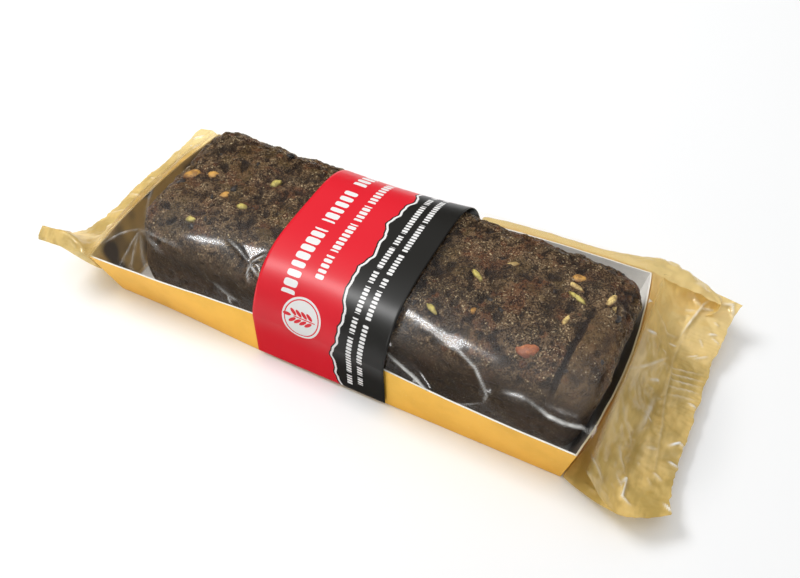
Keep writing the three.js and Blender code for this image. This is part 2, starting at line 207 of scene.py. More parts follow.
class NodeSheet:
    """The node tree of one material, or of the room."""

    def __init__(self, owner: Union[bpy.types.Material, bpy.types.World]) -> None:
        """Empties an owner's node tree.

        Args:
            owner: The material or the world.
        """
        self.owner = owner
        self.owner.use_nodes = True
        self.tree = self.owner.node_tree
        self.tree.nodes.clear()

    def node(
        self,
        kind: str,
        settings: Optional[dict[str, object]] = None,
        inputs: Optional[dict[Union[int, str], Feed]] = None,
    ) -> bpy.types.Node:
        """Adds a node.

        Args:
            kind: The node's type.
            settings: What is set on the node first, with "stops" for a ramp's places and colours.
            inputs: Values or links for its sockets, by name or number.

        Returns:
            The node.
        """
        node = self.tree.nodes.new(kind)
        for key, value in (settings or {}).items():
            if key == "stops":
                self.set_stops(node.color_ramp, value)
            else:
                setattr(node, key, value)
        for key, value in (inputs or {}).items():
            self.feed(node.inputs[key], value)
        return node

    def feed(self, socket: bpy.types.NodeSocket, value: Feed) -> None:
        """Links a socket or sets its value.

        Args:
            socket: The input.
            value: A shader value, a socket, a number or a colour.
        """
        if isinstance(value, Value):
            self.tree.links.new(value.socket, socket)
        elif isinstance(value, bpy.types.NodeSocket):
            self.tree.links.new(value, socket)
        elif socket.type == "RGBA":
            socket.default_value = (*value[:3], 1.0)
        else:
            socket.default_value = value

    @staticmethod
    def set_stops(ramp: bpy.types.ColorRamp, stops: Sequence[tuple[float, Colour]]) -> None:
        """Sets a ramp's stops.

        Args:
            ramp: The ramp.
            stops: Places from 0 to 1 with their colours.
        """
        while len(ramp.elements) < len(stops):
            ramp.elements.new(1.0)
        for element, (place, colour) in zip(ramp.elements, stops):
            element.position = place
            element.color = (*colour, 1.0)

    def math(self, operation: str, *terms: Number) -> Value:
        """Adds a Math node.

        Args:
            operation: The node's operation.
            terms: Its values.

        Returns:
            The result.
        """
        node = self.node("ShaderNodeMath", {"operation": operation}, dict(enumerate(terms)))
        return Value(self, node.outputs[0])

    def place(self, stretch: Triple = (1.0, 1.0, 1.0)) -> bpy.types.NodeSocket:
        """The place on the object in millimetres.

        Args:
            stretch: A factor for each axis.

        Returns:
            The vector's socket.
        """
        coordinates = self.node("ShaderNodeTexCoord").outputs["Object"]
        scale = tuple(part / MM for part in stretch)
        node = self.node("ShaderNodeVectorMath", {"operation": "MULTIPLY"}, {0: coordinates, 1: scale})
        return node.outputs[0]

    def surface_place(self) -> tuple[Value, Value]:
        """The two millimetre coordinates of the piece's own UV map."""
        source = self.node("ShaderNodeUVMap", {"uv_map": UV_NAME}).outputs[0]
        return self.parts(source)[:2]

    def own_value(self, name: str) -> Value:
        """A number that the piece's mesh notes at each point."""
        node = self.node("ShaderNodeAttribute", {"attribute_name": name})
        return Value(self, node.outputs["Fac"])

    def pick(self, number: Value) -> Value:
        """A random number from 0 to 1 for a whole number."""
        node = self.node("ShaderNodeTexWhiteNoise", {"noise_dimensions": "1D"}, {"W": number})
        return Value(self, node.outputs["Value"])

    def parts(self, vector: bpy.types.NodeSocket) -> tuple[Value, Value, Value]:
        """The three numbers of a vector."""
        outputs = self.node("ShaderNodeSeparateXYZ", inputs={0: vector}).outputs
        return Value(self, outputs[0]), Value(self, outputs[1]), Value(self, outputs[2])

    def noise(
        self, vector: bpy.types.NodeSocket, size: float, detail: float = 3.0, rough: float = 0.55
    ) -> Value:
        """A soft noise from 0 to 1.

        Args:
            vector: The place in millimetres.
            size: The size of its patches in millimetres.
            detail: How many finer layers it has.
            rough: How strong they are.

        Returns:
            The noise.
        """
        node = self.node(
            "ShaderNodeTexNoise",
            inputs={"Vector": vector, "Scale": 1.0 / size, "Detail": detail, "Roughness": rough},
        )
        return Value(self, node.outputs[0])

    def cells(self, vector: bpy.types.NodeSocket, size: float) -> tuple[Value, bpy.types.NodeSocket]:
        """Cells like a heap of pebbles.

        Args:
            vector: The place in millimetres.
            size: The size of a cell in millimetres.

        Returns:
            The distance from a cell's middle as a share of its size, and the cell's own random colour.
        """
        node = self.node("ShaderNodeTexVoronoi", inputs={"Vector": vector, "Scale": 1.0 / size})
        return Value(self, node.outputs[0]), node.outputs[1]

    def blend(self, share: Number, first: Feed, second: Feed) -> bpy.types.NodeSocket:
        """Goes from one colour to another.

        Args:
            share: 0 for the first and 1 for the second.
            first: A colour.
            second: A colour.

        Returns:
            The colour's socket.
        """
        node = self.node("ShaderNodeMix", {"data_type": "RGBA"}, {0: share, 6: first, 7: second})
        return node.outputs[2]

    def ramp(self, value: Value, stops: Sequence[tuple[float, Colour]]) -> bpy.types.NodeSocket:
        """Reads a colour from a ramp.

        Args:
            value: Where on the ramp.
            stops: Its places and colours.

        Returns:
            The colour's socket.
        """
        return self.node("ShaderNodeValToRGB", {"stops": stops}, {0: value}).outputs[0]

    def bump(self, height: Value, depth: float, strength: float = 1.0) -> bpy.types.NodeSocket:
        """Turns a height into a bent normal.

        Args:
            height: The height from 0 to 1.
            depth: What 1 is in millimetres.
            strength: How much of it shows.

        Returns:
            The normal's socket.
        """
        inputs = {"Strength": strength, "Distance": depth * MM, "Height": height}
        return self.node("ShaderNodeBump", inputs=inputs).outputs[0]

    def shader(self, kind: str, inputs: dict[Union[int, str], Feed]) -> bpy.types.NodeSocket:
        """Adds a shader node and gives its output."""
        return self.node(kind, inputs=inputs).outputs[0]

    def mixed(
        self, share: Number, first: bpy.types.NodeSocket, second: bpy.types.NodeSocket
    ) -> bpy.types.NodeSocket:
        """Goes from one shader to another, at a share of 0 and of 1."""
        return self.shader("ShaderNodeMixShader", {0: share, 1: first, 2: second})

    def principled(self, inputs: dict[Union[int, str], Feed]) -> bpy.types.Material:
        """Sets a Principled shader as what shows, and gives the material."""
        return self.finish(self.shader("ShaderNodeBsdfPrincipled", inputs))

    def finish(self, shader: bpy.types.NodeSocket) -> Union[bpy.types.Material, bpy.types.World]:
        """Sets what shows.

        Args:
            shader: The last shader's socket.

        Returns:
            The material or the world.
        """
        is_room = isinstance(self.owner, bpy.types.World)
        kind = "ShaderNodeOutputWorld" if is_room else "ShaderNodeOutputMaterial"
        self.node(kind, inputs={"Surface": shader})
        return self.owner


@dataclass(frozen=True)
class GoldCardFinish:
    """Satin gold card: a faint cloud, darker towards the right end, and fine flecks."""

    gold: Colour = (1.0, 0.59, 0.078)
    deep: Colour = (0.84, 0.475, 0.045)
    pale: Colour = (0.98, 0.70, 0.20)
    cloud_size: float = 18.0
    cloud_span: Span = (0.35, 0.70)
    right_span: Span = (20.0, 90.0)
    fleck_size: float = 0.7
    fleck_span: Span = (0.58, 0.8)
    ripple_size: float = 6.0
    ripple_depth: float = 0.5
    roughness: float = 0.36
    metallic: float = 0.6

    def make(self) -> bpy.types.Material:
        """Makes the material.

        Returns:
            The material.
        """
        sheet = NodeSheet(bpy.data.materials.new("gold_card"))
        place = sheet.place()
        x, _, _ = sheet.parts(place)
        cloud = sheet.noise(place, self.cloud_size)
        fleck = sheet.noise(place, self.fleck_size, detail=2.0)
        deeper = cloud.smooth(*self.cloud_span) * 0.7 + x.smooth(*self.right_span) * 0.3
        colour = sheet.blend(deeper, self.gold, self.deep)
        colour = sheet.blend(fleck.smooth(*self.fleck_span) * 0.5, colour, self.pale)
        ripple = sheet.noise(sheet.place((1.0, 1.0, 0.5)), self.ripple_size, detail=2.0)
        return sheet.principled(
            {
                "Base Color": colour,
                "Roughness": fleck * 0.15 + self.roughness,
                "Metallic": self.metallic,
                "Normal": sheet.bump(ripple, self.ripple_depth, strength=0.25),
            }
        )


@dataclass(frozen=True)
class WhiteCardFinish:
    """White card with a soft fibre, with painted shade near the loaf's two ends and a painted gold
    reflection in patches at the left.
    """

    name: str
    light: Colour
    shade: Colour
    # Painted shade and a painted gold reflection, laid near the ends.
    end_shade: Colour = (0.050, 0.029, 0.013)
    gold_reflection: Colour = (0.64, 0.40, 0.115)
    left_span: Span = (83.0, 87.0)
    right_span: Span = (88.0, 92.0)
    far_span: Span = (34.0, 24.0)
    clean_x: Span = (-88.5, -87.0)
    clean_y: Span = (-17.0, -20.0)
    end_shade_share: float = 0.94
    patch_size: float = 13.0
    patch_span: Span = (0.36, 0.58)
    fibre_size: float = 2.2
    fibre_span: Span = (0.3, 0.8)
    fibre_depth: float = 0.08
    roughness: float = 0.45

    def make(self) -> bpy.types.Material:
        """Makes the material.

        Returns:
            The material.
        """
        sheet = NodeSheet(bpy.data.materials.new(self.name))
        place = sheet.place()
        x, y, _ = sheet.parts(place)
        fibre = sheet.noise(sheet.place((1.0, 1.0, 3.0)), self.fibre_size, detail=4.0)
        patch = sheet.noise(place, self.patch_size, detail=1.0)
        # Painted shade: the inside darkens near both ends, where the loaf leaves a deep gap to the end
        # wall. Patches at the left take a painted gold reflection instead. A corner at the near left and
        # the far part at the right stay white.
        clean = x.smooth(*self.clean_x) * y.smooth(*self.clean_y)
        left = (0.0 - x).smooth(*self.left_span) * (1.0 - clean)
        right = x.smooth(*self.right_span) * y.smooth(*self.far_span)
        brown = sheet.blend(patch.smooth(*self.patch_span) * left, self.end_shade, self.gold_reflection)
        colour = sheet.blend(fibre.smooth(*self.fibre_span), self.light, self.shade)
        colour = sheet.blend((left + right) * self.end_shade_share, colour, brown)
        return sheet.principled(
            {
                "Base Color": colour,
                "Roughness": fibre * 0.2 + self.roughness,
                "Normal": sheet.bump(fibre, self.fibre_depth, strength=0.3),
            }
        )


@dataclass(frozen=True)
class CrumbFinish:
    """Dark, moist fruit crumb: brown, black and reddish patches, with painted shade in its hollows and
    split, painted glints among its fine specks and a painted grey sheen on its near side.
    """

    black: Colour = (0.021, 0.010, 0.0045)
    dark: Colour = (0.051, 0.026, 0.011)
    brown: Colour = (0.102, 0.059, 0.027)
    light: Colour = (0.228, 0.144, 0.076)
    red: Colour = (0.155, 0.055, 0.021)
    olive: Colour = (0.132, 0.084, 0.027)
    slate: Colour = (0.044, 0.032, 0.018)
    speck_and_glint: Colour = (0.66, 0.53, 0.31)
    smear: Colour = (0.165, 0.098, 0.042)
    # Painted grey sheen for the film's reflection on the near side.
    near_side_haze: Colour = (0.100, 0.068, 0.043)
    grain_size: float = 1.5
    grain_rough: float = 0.85
    patch_size: float = 6.0
    cloud_size: float = 15.0
    tint_size: float = 11.0
    cell_size: float = 3.2
    dot_size: float = 0.6
    dark_above: float = 0.78
    red_above: float = 0.86
    light_above: float = 0.88
    cell_span: Span = (0.45, 0.7)
    red_span: Span = (0.50, 0.61)
    olive_span: Span = (0.54, 0.66)
    slate_span: Span = (0.46, 0.36)
    pore_span: Span = (0.47, 0.37)
    dot_span: Span = (0.54, 0.63)
    speck_span: Span = (0.65, 0.70)
    speck_patch_span: Span = (0.44, 0.57)
    pit_span: Span = (0.46, 0.16)
    split_x: float = SPLIT_X
    split_lean: float = SPLIT_LEAN
    split_wobble: float = 3.0
    wobble_size: float = 5.0
    split_span: Span = (1.0, 0.35)
    split_y: Span = (3.0, -3.0)
    split_z: Span = (20.0, 27.0)
    heel_span: Span = (0.3, 0.9)
    heel_x: Span = (97.0, 93.0)
    heel_y: Span = (10.0, -8.0)
    heel_z: Span = (20.0, 30.0)
    side_y: Span = (-18.0, -26.0)
    side_z: Span = (33.0, 25.0)
    specular: float = 0.15
    roughness: float = 0.44
    relief_depth: float = 0.7

    def make(self) -> bpy.types.Material:
        """Makes the material.

        Returns:
            The material.
        """
        sheet = NodeSheet(bpy.data.materials.new("fruit_crumb"))
        place = sheet.place()
        x, y, z = sheet.parts(place)
        grain = sheet.noise(place, self.grain_size, detail=4.0, rough=self.grain_rough)
        patch = sheet.noise(place, self.patch_size)
        cloud = sheet.noise(place, self.cloud_size, detail=2.0)
        tint = sheet.noise(sheet.place((1.0, 1.0, 1.4)), self.tint_size)
        dots = sheet.noise(place, self.dot_size, detail=1.0)
        distance, cell = sheet.cells(place, self.cell_size)
        pick, other, third = sheet.parts(cell)
        body = (1.0 - distance).smooth(*self.cell_span)
        fruit = body * (pick > self.dark_above)
        # Painted shade in the crumb's hollows, read from how far each point stands out.
        pit_shade = sheet.own_value(CRAG_NAME).smooth(*self.pit_span)
        # Painted reflection: below the shoulder, the near side is evened towards a grey brown that stands
        # for the film's dim reflection of the floor.
        side = z.smooth(*self.side_z) * y.smooth(*self.side_y)
        off = self.past_split(sheet, x, y)
        split = abs(off).smooth(*self.split_span) * y.smooth(*self.split_y) * z.smooth(*self.split_z)
        heel = off.smooth(*self.heel_span) * y.smooth(*self.heel_y) * z.smooth(*self.heel_z)
        heel = heel * x.smooth(*self.heel_x)
        colour = sheet.ramp(
            grain * 0.62 + patch * 0.38,
            [(0.435, self.black), (0.468, self.dark), (0.510, self.brown), (0.570, self.light)],
        )
        for share, tone in (
            (tint.smooth(*self.red_span) * (grain.smooth(0.4, 0.6) * 0.5 + 0.35), self.red),
            (cloud.smooth(*self.olive_span) * 0.5, self.olive),
            (cloud.smooth(*self.slate_span) * 0.6, self.slate),
            (fruit * 0.75, self.black),
            (body * (other > self.red_above) * 0.7, self.red),
            (body * (third > self.light_above) * 0.6, self.light),
            (dots.smooth(*self.pore_span) * 0.85, self.black),
            # Fine light dots and pale specks: partly crumb and seed texture, partly painted glints of the
            # moist crumb.
            (dots.smooth(*self.dot_span) * 0.5, self.light),
            (dots.smooth(*self.speck_span) * patch.smooth(*self.speck_patch_span), self.speck_and_glint),
            (heel * (grain.smooth(0.36, 0.60) * 0.6 + 0.2), self.smear),
            (pit_shade * 0.8, self.black),
            # Painted shade: the split is laid near black.
            (split * 0.97, self.black),
            (side * 0.7, self.near_side_haze),
        ):
            colour = sheet.blend(share, colour, tone)
        height = (grain * 0.7 + dots * 0.4 + patch * 0.6) * (1.0 - side * 0.6)
        dull = self.roughness - fruit * 0.16 + (grain - 0.5) * 0.4
        return sheet.principled(
            {
                "Base Color": colour,
                "Specular IOR Level": self.specular,
                "Roughness": dull - cloud.smooth(0.45, 0.6) * 0.1,
                "Normal": sheet.bump(height, self.relief_depth),
            }
        )

    def past_split(self, sheet: NodeSheet, x: Value, y: Value) -> Value:
        """How far a place lies to the right of the split's wavering line.

        Args:
            sheet: The material's sheet.
            x: The place along the loaf.
            y: The place across it.

        Returns:
            The distance in millimetres, less than 0 on the left.
        """
        wobble = sheet.noise(sheet.place((0.0, 1.0, 0.0)), self.wobble_size)
        return x - (y * self.split_lean + self.split_x) - (wobble - 0.5) * self.split_wobble


@dataclass(frozen=True)
class PieceFinish:
    """A nut, seed or fruit piece: two tones in streaks, deeper round its sunk edge, partly its skin and
    partly painted shade where it meets the crumb, with a little gloss.
    """

    name: str
    light: Colour
    deep: Colour
    roughness: float = 0.42
    streak_size: float = 2.2
    grain_size: float = 0.5
    light_span: Span = (0.42, 0.58)
    skin_and_shade_span: Span = (0.60, 0.92)
    relief_depth: float = 0.25

    def make(self) -> bpy.types.Material:
        """Makes the material.

        Returns:
            The material.
        """
        sheet = NodeSheet(bpy.data.materials.new(self.name))
        place = sheet.place()
        streak = sheet.noise(place, self.streak_size)
        grain = sheet.noise(place, self.grain_size, detail=2.0)
        paler = (streak * 0.7 + grain * 0.3).smooth(*self.light_span) * 0.7 + 0.3
        # Darker towards the piece's lower part: partly its skin, partly painted shade where it sinks into
        # the crumb.
        inside = sheet.own_value(CRAG_NAME).smooth(*self.skin_and_shade_span)
        return sheet.principled(
            {
                "Base Color": sheet.blend(paler * inside, self.deep, self.light),
                "Roughness": grain * 0.2 + self.roughness,
                "Normal": sheet.bump(streak + grain * 0.4, self.relief_depth, strength=0.6),
            }
        )


@dataclass(frozen=True)
class GoldTint:
    """Gold tint of the film at the pack's ends: partly see-through and satin, with painted light making the
    far side paler.
    """

    gold: Colour = (0.96, 0.72, 0.265)
    deep: Colour = (0.64, 0.465, 0.137)
    pale: Colour = (1.0, 0.80, 0.37)
    see: Colour = (0.94, 0.80, 0.44)
    through: float = 0.33
    cloud_size: float = 13.0
    streak_size: float = 5.0
    deep_span: Span = (0.42, 0.60)
    painted_far_light_span: Span = (12.0, 46.0)
    painted_far_light_share: float = 0.85
    roughness: float = 0.3
    metallic: float = 0.1

    def body(self, sheet: NodeSheet, normal: bpy.types.NodeSocket) -> bpy.types.NodeSocket:
        """The tinted film without its glossy skin.

        Args:
            sheet: The material's sheet.
            normal: The film's bent normal.

        Returns:
            The shader's socket.
        """
        place = sheet.place()
        _, y, _ = sheet.parts(place)
        cloud = sheet.noise(place, self.cloud_size)
        streak = sheet.noise(sheet.place((1.0, 0.3, 1.0)), self.streak_size)
        deeper = (cloud * 0.5 + streak * 0.5).smooth(*self.deep_span)
        colour = sheet.blend(deeper, self.gold, self.deep)
        # Painted light: the far side is made paler, standing in for light that the dim room behind the pack
        # doesn't give.
        colour = sheet.blend(y.smooth(*self.painted_far_light_span) * self.painted_far_light_share, colour, self.pale)
        satin = sheet.shader(
            "ShaderNodeBsdfPrincipled",
            {
                "Base Color": colour,
                "Roughness": cloud * 0.2 + self.roughness,
                "Metallic": self.metallic,
                "Normal": normal,
            },
        )
        clear = sheet.shader("ShaderNodeBsdfTransparent", {"Color": self.see})
        return sheet.mixed(self.through, satin, clear)


@dataclass(frozen=True)
class FilmFinish:
    """Thin film with a sharp reflection and a faint glow, gold all over or only beyond the loaf, with
    painted white glints along its folds.
    """

    name: str
    gold_all_over: bool
    tint: GoldTint = GoldTint()
    ior: float = 1.45
    most: float = 0.032
    gold_most: float = 0.15
    slope_most: float = 0.016
    slope_start: Span = (92.0, 95.0)
    slope_end: Span = (100.0, 98.0)
    roughness: float = 0.14
    glow_roughness: float = 0.42
    glow_share: float = 0.26
    right_span: Span = (98.5, 101.0)
    right_share: float = 0.93
    left_span: Span = (88.0, 101.0)
    left_share: float = 0.7
    left_far_span: Span = (24.0, 42.0)
    left_pale: float = 0.75
    ripple_size: float = 6.0
    ripple_depth: float = 0.3
    see: Colour = (1.0, 0.995, 0.985)
    shine: Colour = (1.0, 1.0, 1.0)
    painted_glint: Colour = (0.95, 0.94, 0.90)

    def make(self) -> bpy.types.Material:
        """Makes the material.

        Returns:
            The material.
        """
        sheet = NodeSheet(bpy.data.materials.new(self.name))
        place = sheet.place()
        ripple = sheet.noise(place, self.ripple_size, detail=1.0)
        normal = sheet.bump(ripple, self.ripple_depth, strength=0.2)
        fresnel = sheet.node("ShaderNodeFresnel", inputs={"IOR": self.ior, "Normal": normal}).outputs[0]
        body = self.tint.body(sheet, normal)
        most: Number = self.gold_most
        if not self.gold_all_over:
            x, y, _ = sheet.parts(place)
            gold = self.gold_share(x, y)
            clear = sheet.shader("ShaderNodeBsdfTransparent", {"Color": self.see})
            body = sheet.mixed(gold, clear, body)
            slope = x.smooth(*self.slope_start) * x.smooth(*self.slope_end)
            most = gold * (self.gold_most - self.most) + self.most
            most = most - slope * (self.most - self.slope_most)
        gloss = {"Color": self.shine, "Normal": normal}
        sharp = sheet.shader("ShaderNodeBsdfGlossy", {**gloss, "Roughness": self.roughness})
        glow = sheet.shader("ShaderNodeBsdfGlossy", {**gloss, "Roughness": self.glow_roughness})
        shine = sheet.mixed(self.glow_share, sharp, glow)
        film = sheet.mixed(Value(sheet, fresnel).lowest(most), body, shine)
        # Painted highlight: a white matt line laid where each fold's glint is noted, standing in for the
        # lamps' reflection along the folds.
        line = sheet.shader("ShaderNodeBsdfDiffuse", {"Color": self.painted_glint})
        return sheet.finish(sheet.mixed(sheet.own_value(GLINT_NAME), film, line))

    def gold_share(self, x: Value, y: Value) -> Value:
        """How gold the clear web is at a place: not at all over the loaf, and less at the far left.

        Args:
            x: The place along the pack.
            y: The place across it.

        Returns:
            The share from 0 to 1.
        """
        right = x.smooth(*self.right_span) * self.right_share
        left = (0.0 - x).smooth(*self.left_span) * self.left_share
        left = left * (1.0 - y.smooth(*self.left_far_span) * self.left_pale)
        return right + left


@dataclass(frozen=True)
class PrintLine:
    """A row of plain rounded blocks in groups, each group with its start and end along the band."""

    middle: float
    height: float
    pitch: float
    groups: tuple[Span, ...]


@dataclass(frozen=True)
class Medallion:
    """A white disc with an ear of grain on it."""

    across: float = 19.0
    along: float = 25.0
    radius: float = 7.6
    ring: float = 6.6
    ring_width: float = 0.22
    stem_width: float = 0.2
    stem_length: float = 4.2
    stem_drop: float = 1.2
    grain_length: float = 1.6
    grain_width: float = 0.62
    grain_step: float = 2.1
    grain_out: float = 1.45
    grain_way: Pair = (0.6, 0.8)
    grain_pairs: int = 4
    first_step: float = 0.6
    tip_step: float = 0.7


@dataclass(frozen=True)
class PrintFinish:
    """Coated paper with a red and a near-black field, a jagged line, rows of blocks and a medallion."""

    red: Colour = (0.78, 0.010, 0.024)
    black: Colour = (0.009, 0.008, 0.006)
    white: Colour = (0.88, 0.87, 0.85)
    divide: float = 33.0
    line: float = 0.42
    outline: float = 0.95
    zigzags: tuple[Pair, ...] = ((29.0, 5.2), (11.0, 2.2), (4.3, 0.8))
    lines: tuple[PrintLine, ...] = (
        PrintLine(12.0, 5.2, 3.4, ((32.0, 59.0), (63.0, 82.0), (86.0, 108.0))),
        PrintLine(21.0, 3.1, 2.1, ((40.0, 49.5), (51.5, 66.0), (68.0, 76.5), (78.5, 95.5), (97.5, 109.0))),
        PrintLine(
            38.3,
            2.1,
            1.4,
            ((3.0, 8.0), (9.5, 26.0), (27.5, 33.0), (34.5, 44.0), (45.5, 50.0))
            + ((51.5, 62.0), (63.5, 68.0), (69.5, 86.0), (87.5, 93.0), (94.5, 109.0)),
        ),
        PrintLine(
            42.6,
            2.1,
            1.4,
            ((5.0, 9.0), (10.5, 15.0), (16.5, 32.0), (33.5, 44.0), (45.5, 49.0))
            + ((50.5, 60.0), (61.5, 76.0), (77.5, 94.0), (95.5, 105.0)),
        ),
    )
    block_least: float = 0.30
    block_more: float = 0.12
    block_power: float = 4.0
    medallion: Medallion = Medallion()
    roughness: float = 0.5
    specular: float = 0.05
    varnish: float = 0.8
    varnish_span: Span = (10.0, 26.0)
    varnish_roughness: float = 0.36
    wave_size: float = 16.0
    wave_depth: float = 0.4

    def make(self) -> bpy.types.Material:
        """Makes the material.

        Returns:
            The material.
        """
        sheet = NodeSheet(bpy.data.materials.new("band_print"))
        across, along = sheet.surface_place()
        beyond = across - (self.jagged(along) + self.divide)
        colour = sheet.blend(beyond > -self.outline, self.red, self.black)
        colour = sheet.blend(abs(beyond) < self.line, colour, self.white)
        for line in self.lines:
            colour = sheet.blend(self.blocks(sheet, line, across, along), colour, self.white)
        wave = sheet.noise(sheet.place(), self.wave_size, detail=1.0)
        return sheet.principled(
            {
                "Base Color": self.with_medallion(sheet, colour, across, along),
                "Roughness": self.roughness,
                "Specular IOR Level": self.specular,
                "Coat Weight": along.smooth(*self.varnish_span) * self.varnish,
                "Coat Roughness": self.varnish_roughness,
                "Normal": sheet.bump(wave, self.wave_depth, strength=0.2),
            }
        )

    def jagged(self, along: Value) -> Value:
        """A zigzag of several lengths about 0.

        Args:
            along: The coordinate over the band.

        Returns:
            How far the line swings there.
        """
        total: Number = 0.0
        for length, swing in self.zigzags:
            total = total + (abs((along / length) % 1.0 - 0.5) - 0.25) * swing
        return total

    def blocks(self, sheet: NodeSheet, line: PrintLine, across: Value, along: Value) -> Value:
        """A mask for one row of rounded blocks of uneven widths.

        Args:
            sheet: The material's sheet.
            line: The row.
            across: The coordinate along X.
            along: The coordinate over the band.

        Returns:
            1 on the blocks and 0 elsewhere.
        """
        found: Number = 0.0
        for start, end in line.groups:
            found = found + (abs(along - (start + end) / 2.0) < (end - start) / 2.0)
        steps = along / line.pitch
        off = steps % 1.0
        pick = sheet.pick(steps - off)
        wide = abs(off - 0.5) / (pick * self.block_more + self.block_least)
        tall = abs(across - line.middle) / (line.height / 2.0)
        return found * ((wide**self.block_power + tall**self.block_power) < 1.0)

    def with_medallion(
        self, sheet: NodeSheet, colour: bpy.types.NodeSocket, across: Value, along: Value
    ) -> bpy.types.NodeSocket:
        """Adds the disc and its ear of grain.

        Args:
            sheet: The material's sheet.
            colour: The print so far.
            across: The coordinate along X.
            along: The coordinate over the band.

        Returns:
            The print's colour.
        """
        disc = self.medallion
        side = abs(along - disc.along)
        up = disc.across - across
        reach = (side * side + up * up) ** 0.5
        colour = sheet.blend(reach < disc.radius, colour, self.white)
        lowest = -disc.grain_step * disc.grain_pairs / 2.0
        stem = (side < disc.stem_width) * (abs(up + disc.stem_drop) < disc.stem_length)
        ear = (abs(reach - disc.ring) < disc.ring_width).highest(stem)
        run, lift = disc.grain_way
        for pair in range(disc.grain_pairs):
            rise = up - (lowest + disc.grain_step * (pair + disc.first_step))
            out = side - disc.grain_out
            long = (out * run + rise * lift) / disc.grain_length
            wide = (rise * run - out * lift) / disc.grain_width
            ear = ear.highest((long * long + wide * wide) < 1.0)
        tip = (up - (lowest + disc.grain_step * (disc.grain_pairs + disc.tip_step))) / disc.grain_length
        ear = ear.highest((tip * tip + (side * side) / disc.grain_width**2) < 1.0)
        return sheet.blend(ear, colour, self.red)


def box_shape(columns: int, rows: int, layers: int) -> bmesh.types.BMesh:
    """A box from -1 to 1 whose sides are split into quads.

    Args:
        columns: Quads along X.
        rows: Quads along Y.
        layers: Quads along Z.

    Returns:
        The shape.
    """
    shape = bmesh.new()
    bmesh.ops.create_cube(shape, size=2.0)
    for axis, count in enumerate((columns, rows, layers)):
        along = [edge for edge in shape.edges if abs((edge.verts[0].co - edge.verts[1].co)[axis]) > TINY]
        bmesh.ops.subdivide_edges(shape, edges=along, cuts=count - 1, use_grid_fill=True)
    return shape


def sheet_shape(
    columns: int,
    rows: int,
    place: Rule,
    relief: Relief,
    mapping: Optional[Rule] = None,
    painted_glint: Optional[Relief] = None,
) -> bmesh.types.BMesh:
    """A sheet of quads laid on a surface.

    Args:
        columns: Quads along u.
        rows: Quads along v.
        place: Where u and v, each from -1 to 1, lie.
        relief: How far a point then moves along its normal.
        mapping: The point's place on the UV map.
        painted_glint: How strongly a painted glint shows at a point.

    Returns:
        The shape.
    """
    shape = bmesh.new()
    bmesh.ops.create_grid(shape, x_segments=columns, y_segments=rows, size=1.0)
    spots = [(vert.co.x, vert.co.y) for vert in shape.verts]
    if mapping:
        layer = shape.loops.layers.uv.new(UV_NAME)
        for face in shape.faces:
            for loop in face.loops:
                loop[layer].uv = mapping(loop.vert.co.x, loop.vert.co.y).xy
    for vert, (u, v) in zip(shape.verts, spots):
        vert.co = place(u, v)
    if painted_glint:
        layer = shape.verts.layers.float.new(GLINT_NAME)
        for vert, (u, v) in zip(shape.verts, spots):
            vert[layer] = painted_glint(u, v, vert.co)
    shape.normal_update()
    moves = [vert.normal * relief(u, v, vert.co) for vert, (u, v) in zip(shape.verts, spots)]
    for vert, move in zip(shape.verts, moves):
        vert.co += move
    shape.normal_update()
    return shape


def finished(
    name: str, shape: bmesh.types.BMesh, finishes: Sequence[bpy.types.Material]
) -> bpy.types.Object:
    """Makes an object at the origin from a shape in millimetres.

    Args:
        name: The object's name.
        shape: The shape, which is used up.
        finishes: Its materials.

    Returns:
        The object.
    """
    bmesh.ops.scale(shape, vec=(MM, MM, MM), verts=shape.verts)
    for face in shape.faces:
        face.smooth = True
    mesh = bpy.data.meshes.new(name)
    shape.to_mesh(mesh)
    shape.free()
    for material in finishes:
        mesh.materials.append(material)
    piece = bpy.data.objects.new(name, mesh)
    bpy.context.scene.collection.objects.link(piece)
    return piece


def settle(piece: bpy.types.Object, slot: Slot, node: Node) -> bpy.types.Object:
    """Puts a finished piece in a solid's place.

    Args:
        piece: The piece.
        slot: Not used.
        node: The solid that it stands for.

    Returns:
        The piece.
    """
    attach(piece, BODY)
    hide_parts(node.value)
    return piece


WHITE_CARD = WhiteCardFinish("white_card", light=(0.90, 0.88, 0.84), shade=(0.84, 0.82, 0.78))
# The cut edge is paler than the inside card, a painted highlight for the film's gleam along the rim, and
# takes a tan painted shade near its ends.
CUT_EDGE = WhiteCardFinish(
    "cut_edge",
    light=(0.95, 0.93, 0.86),
    shade=(0.86, 0.83, 0.74),
    end_shade=(0.50, 0.42, 0.24),
    gold_reflection=(0.46, 0.33, 0.12),
    left_span=(92.0, 95.0),
    right_span=(93.0, 96.0),
)


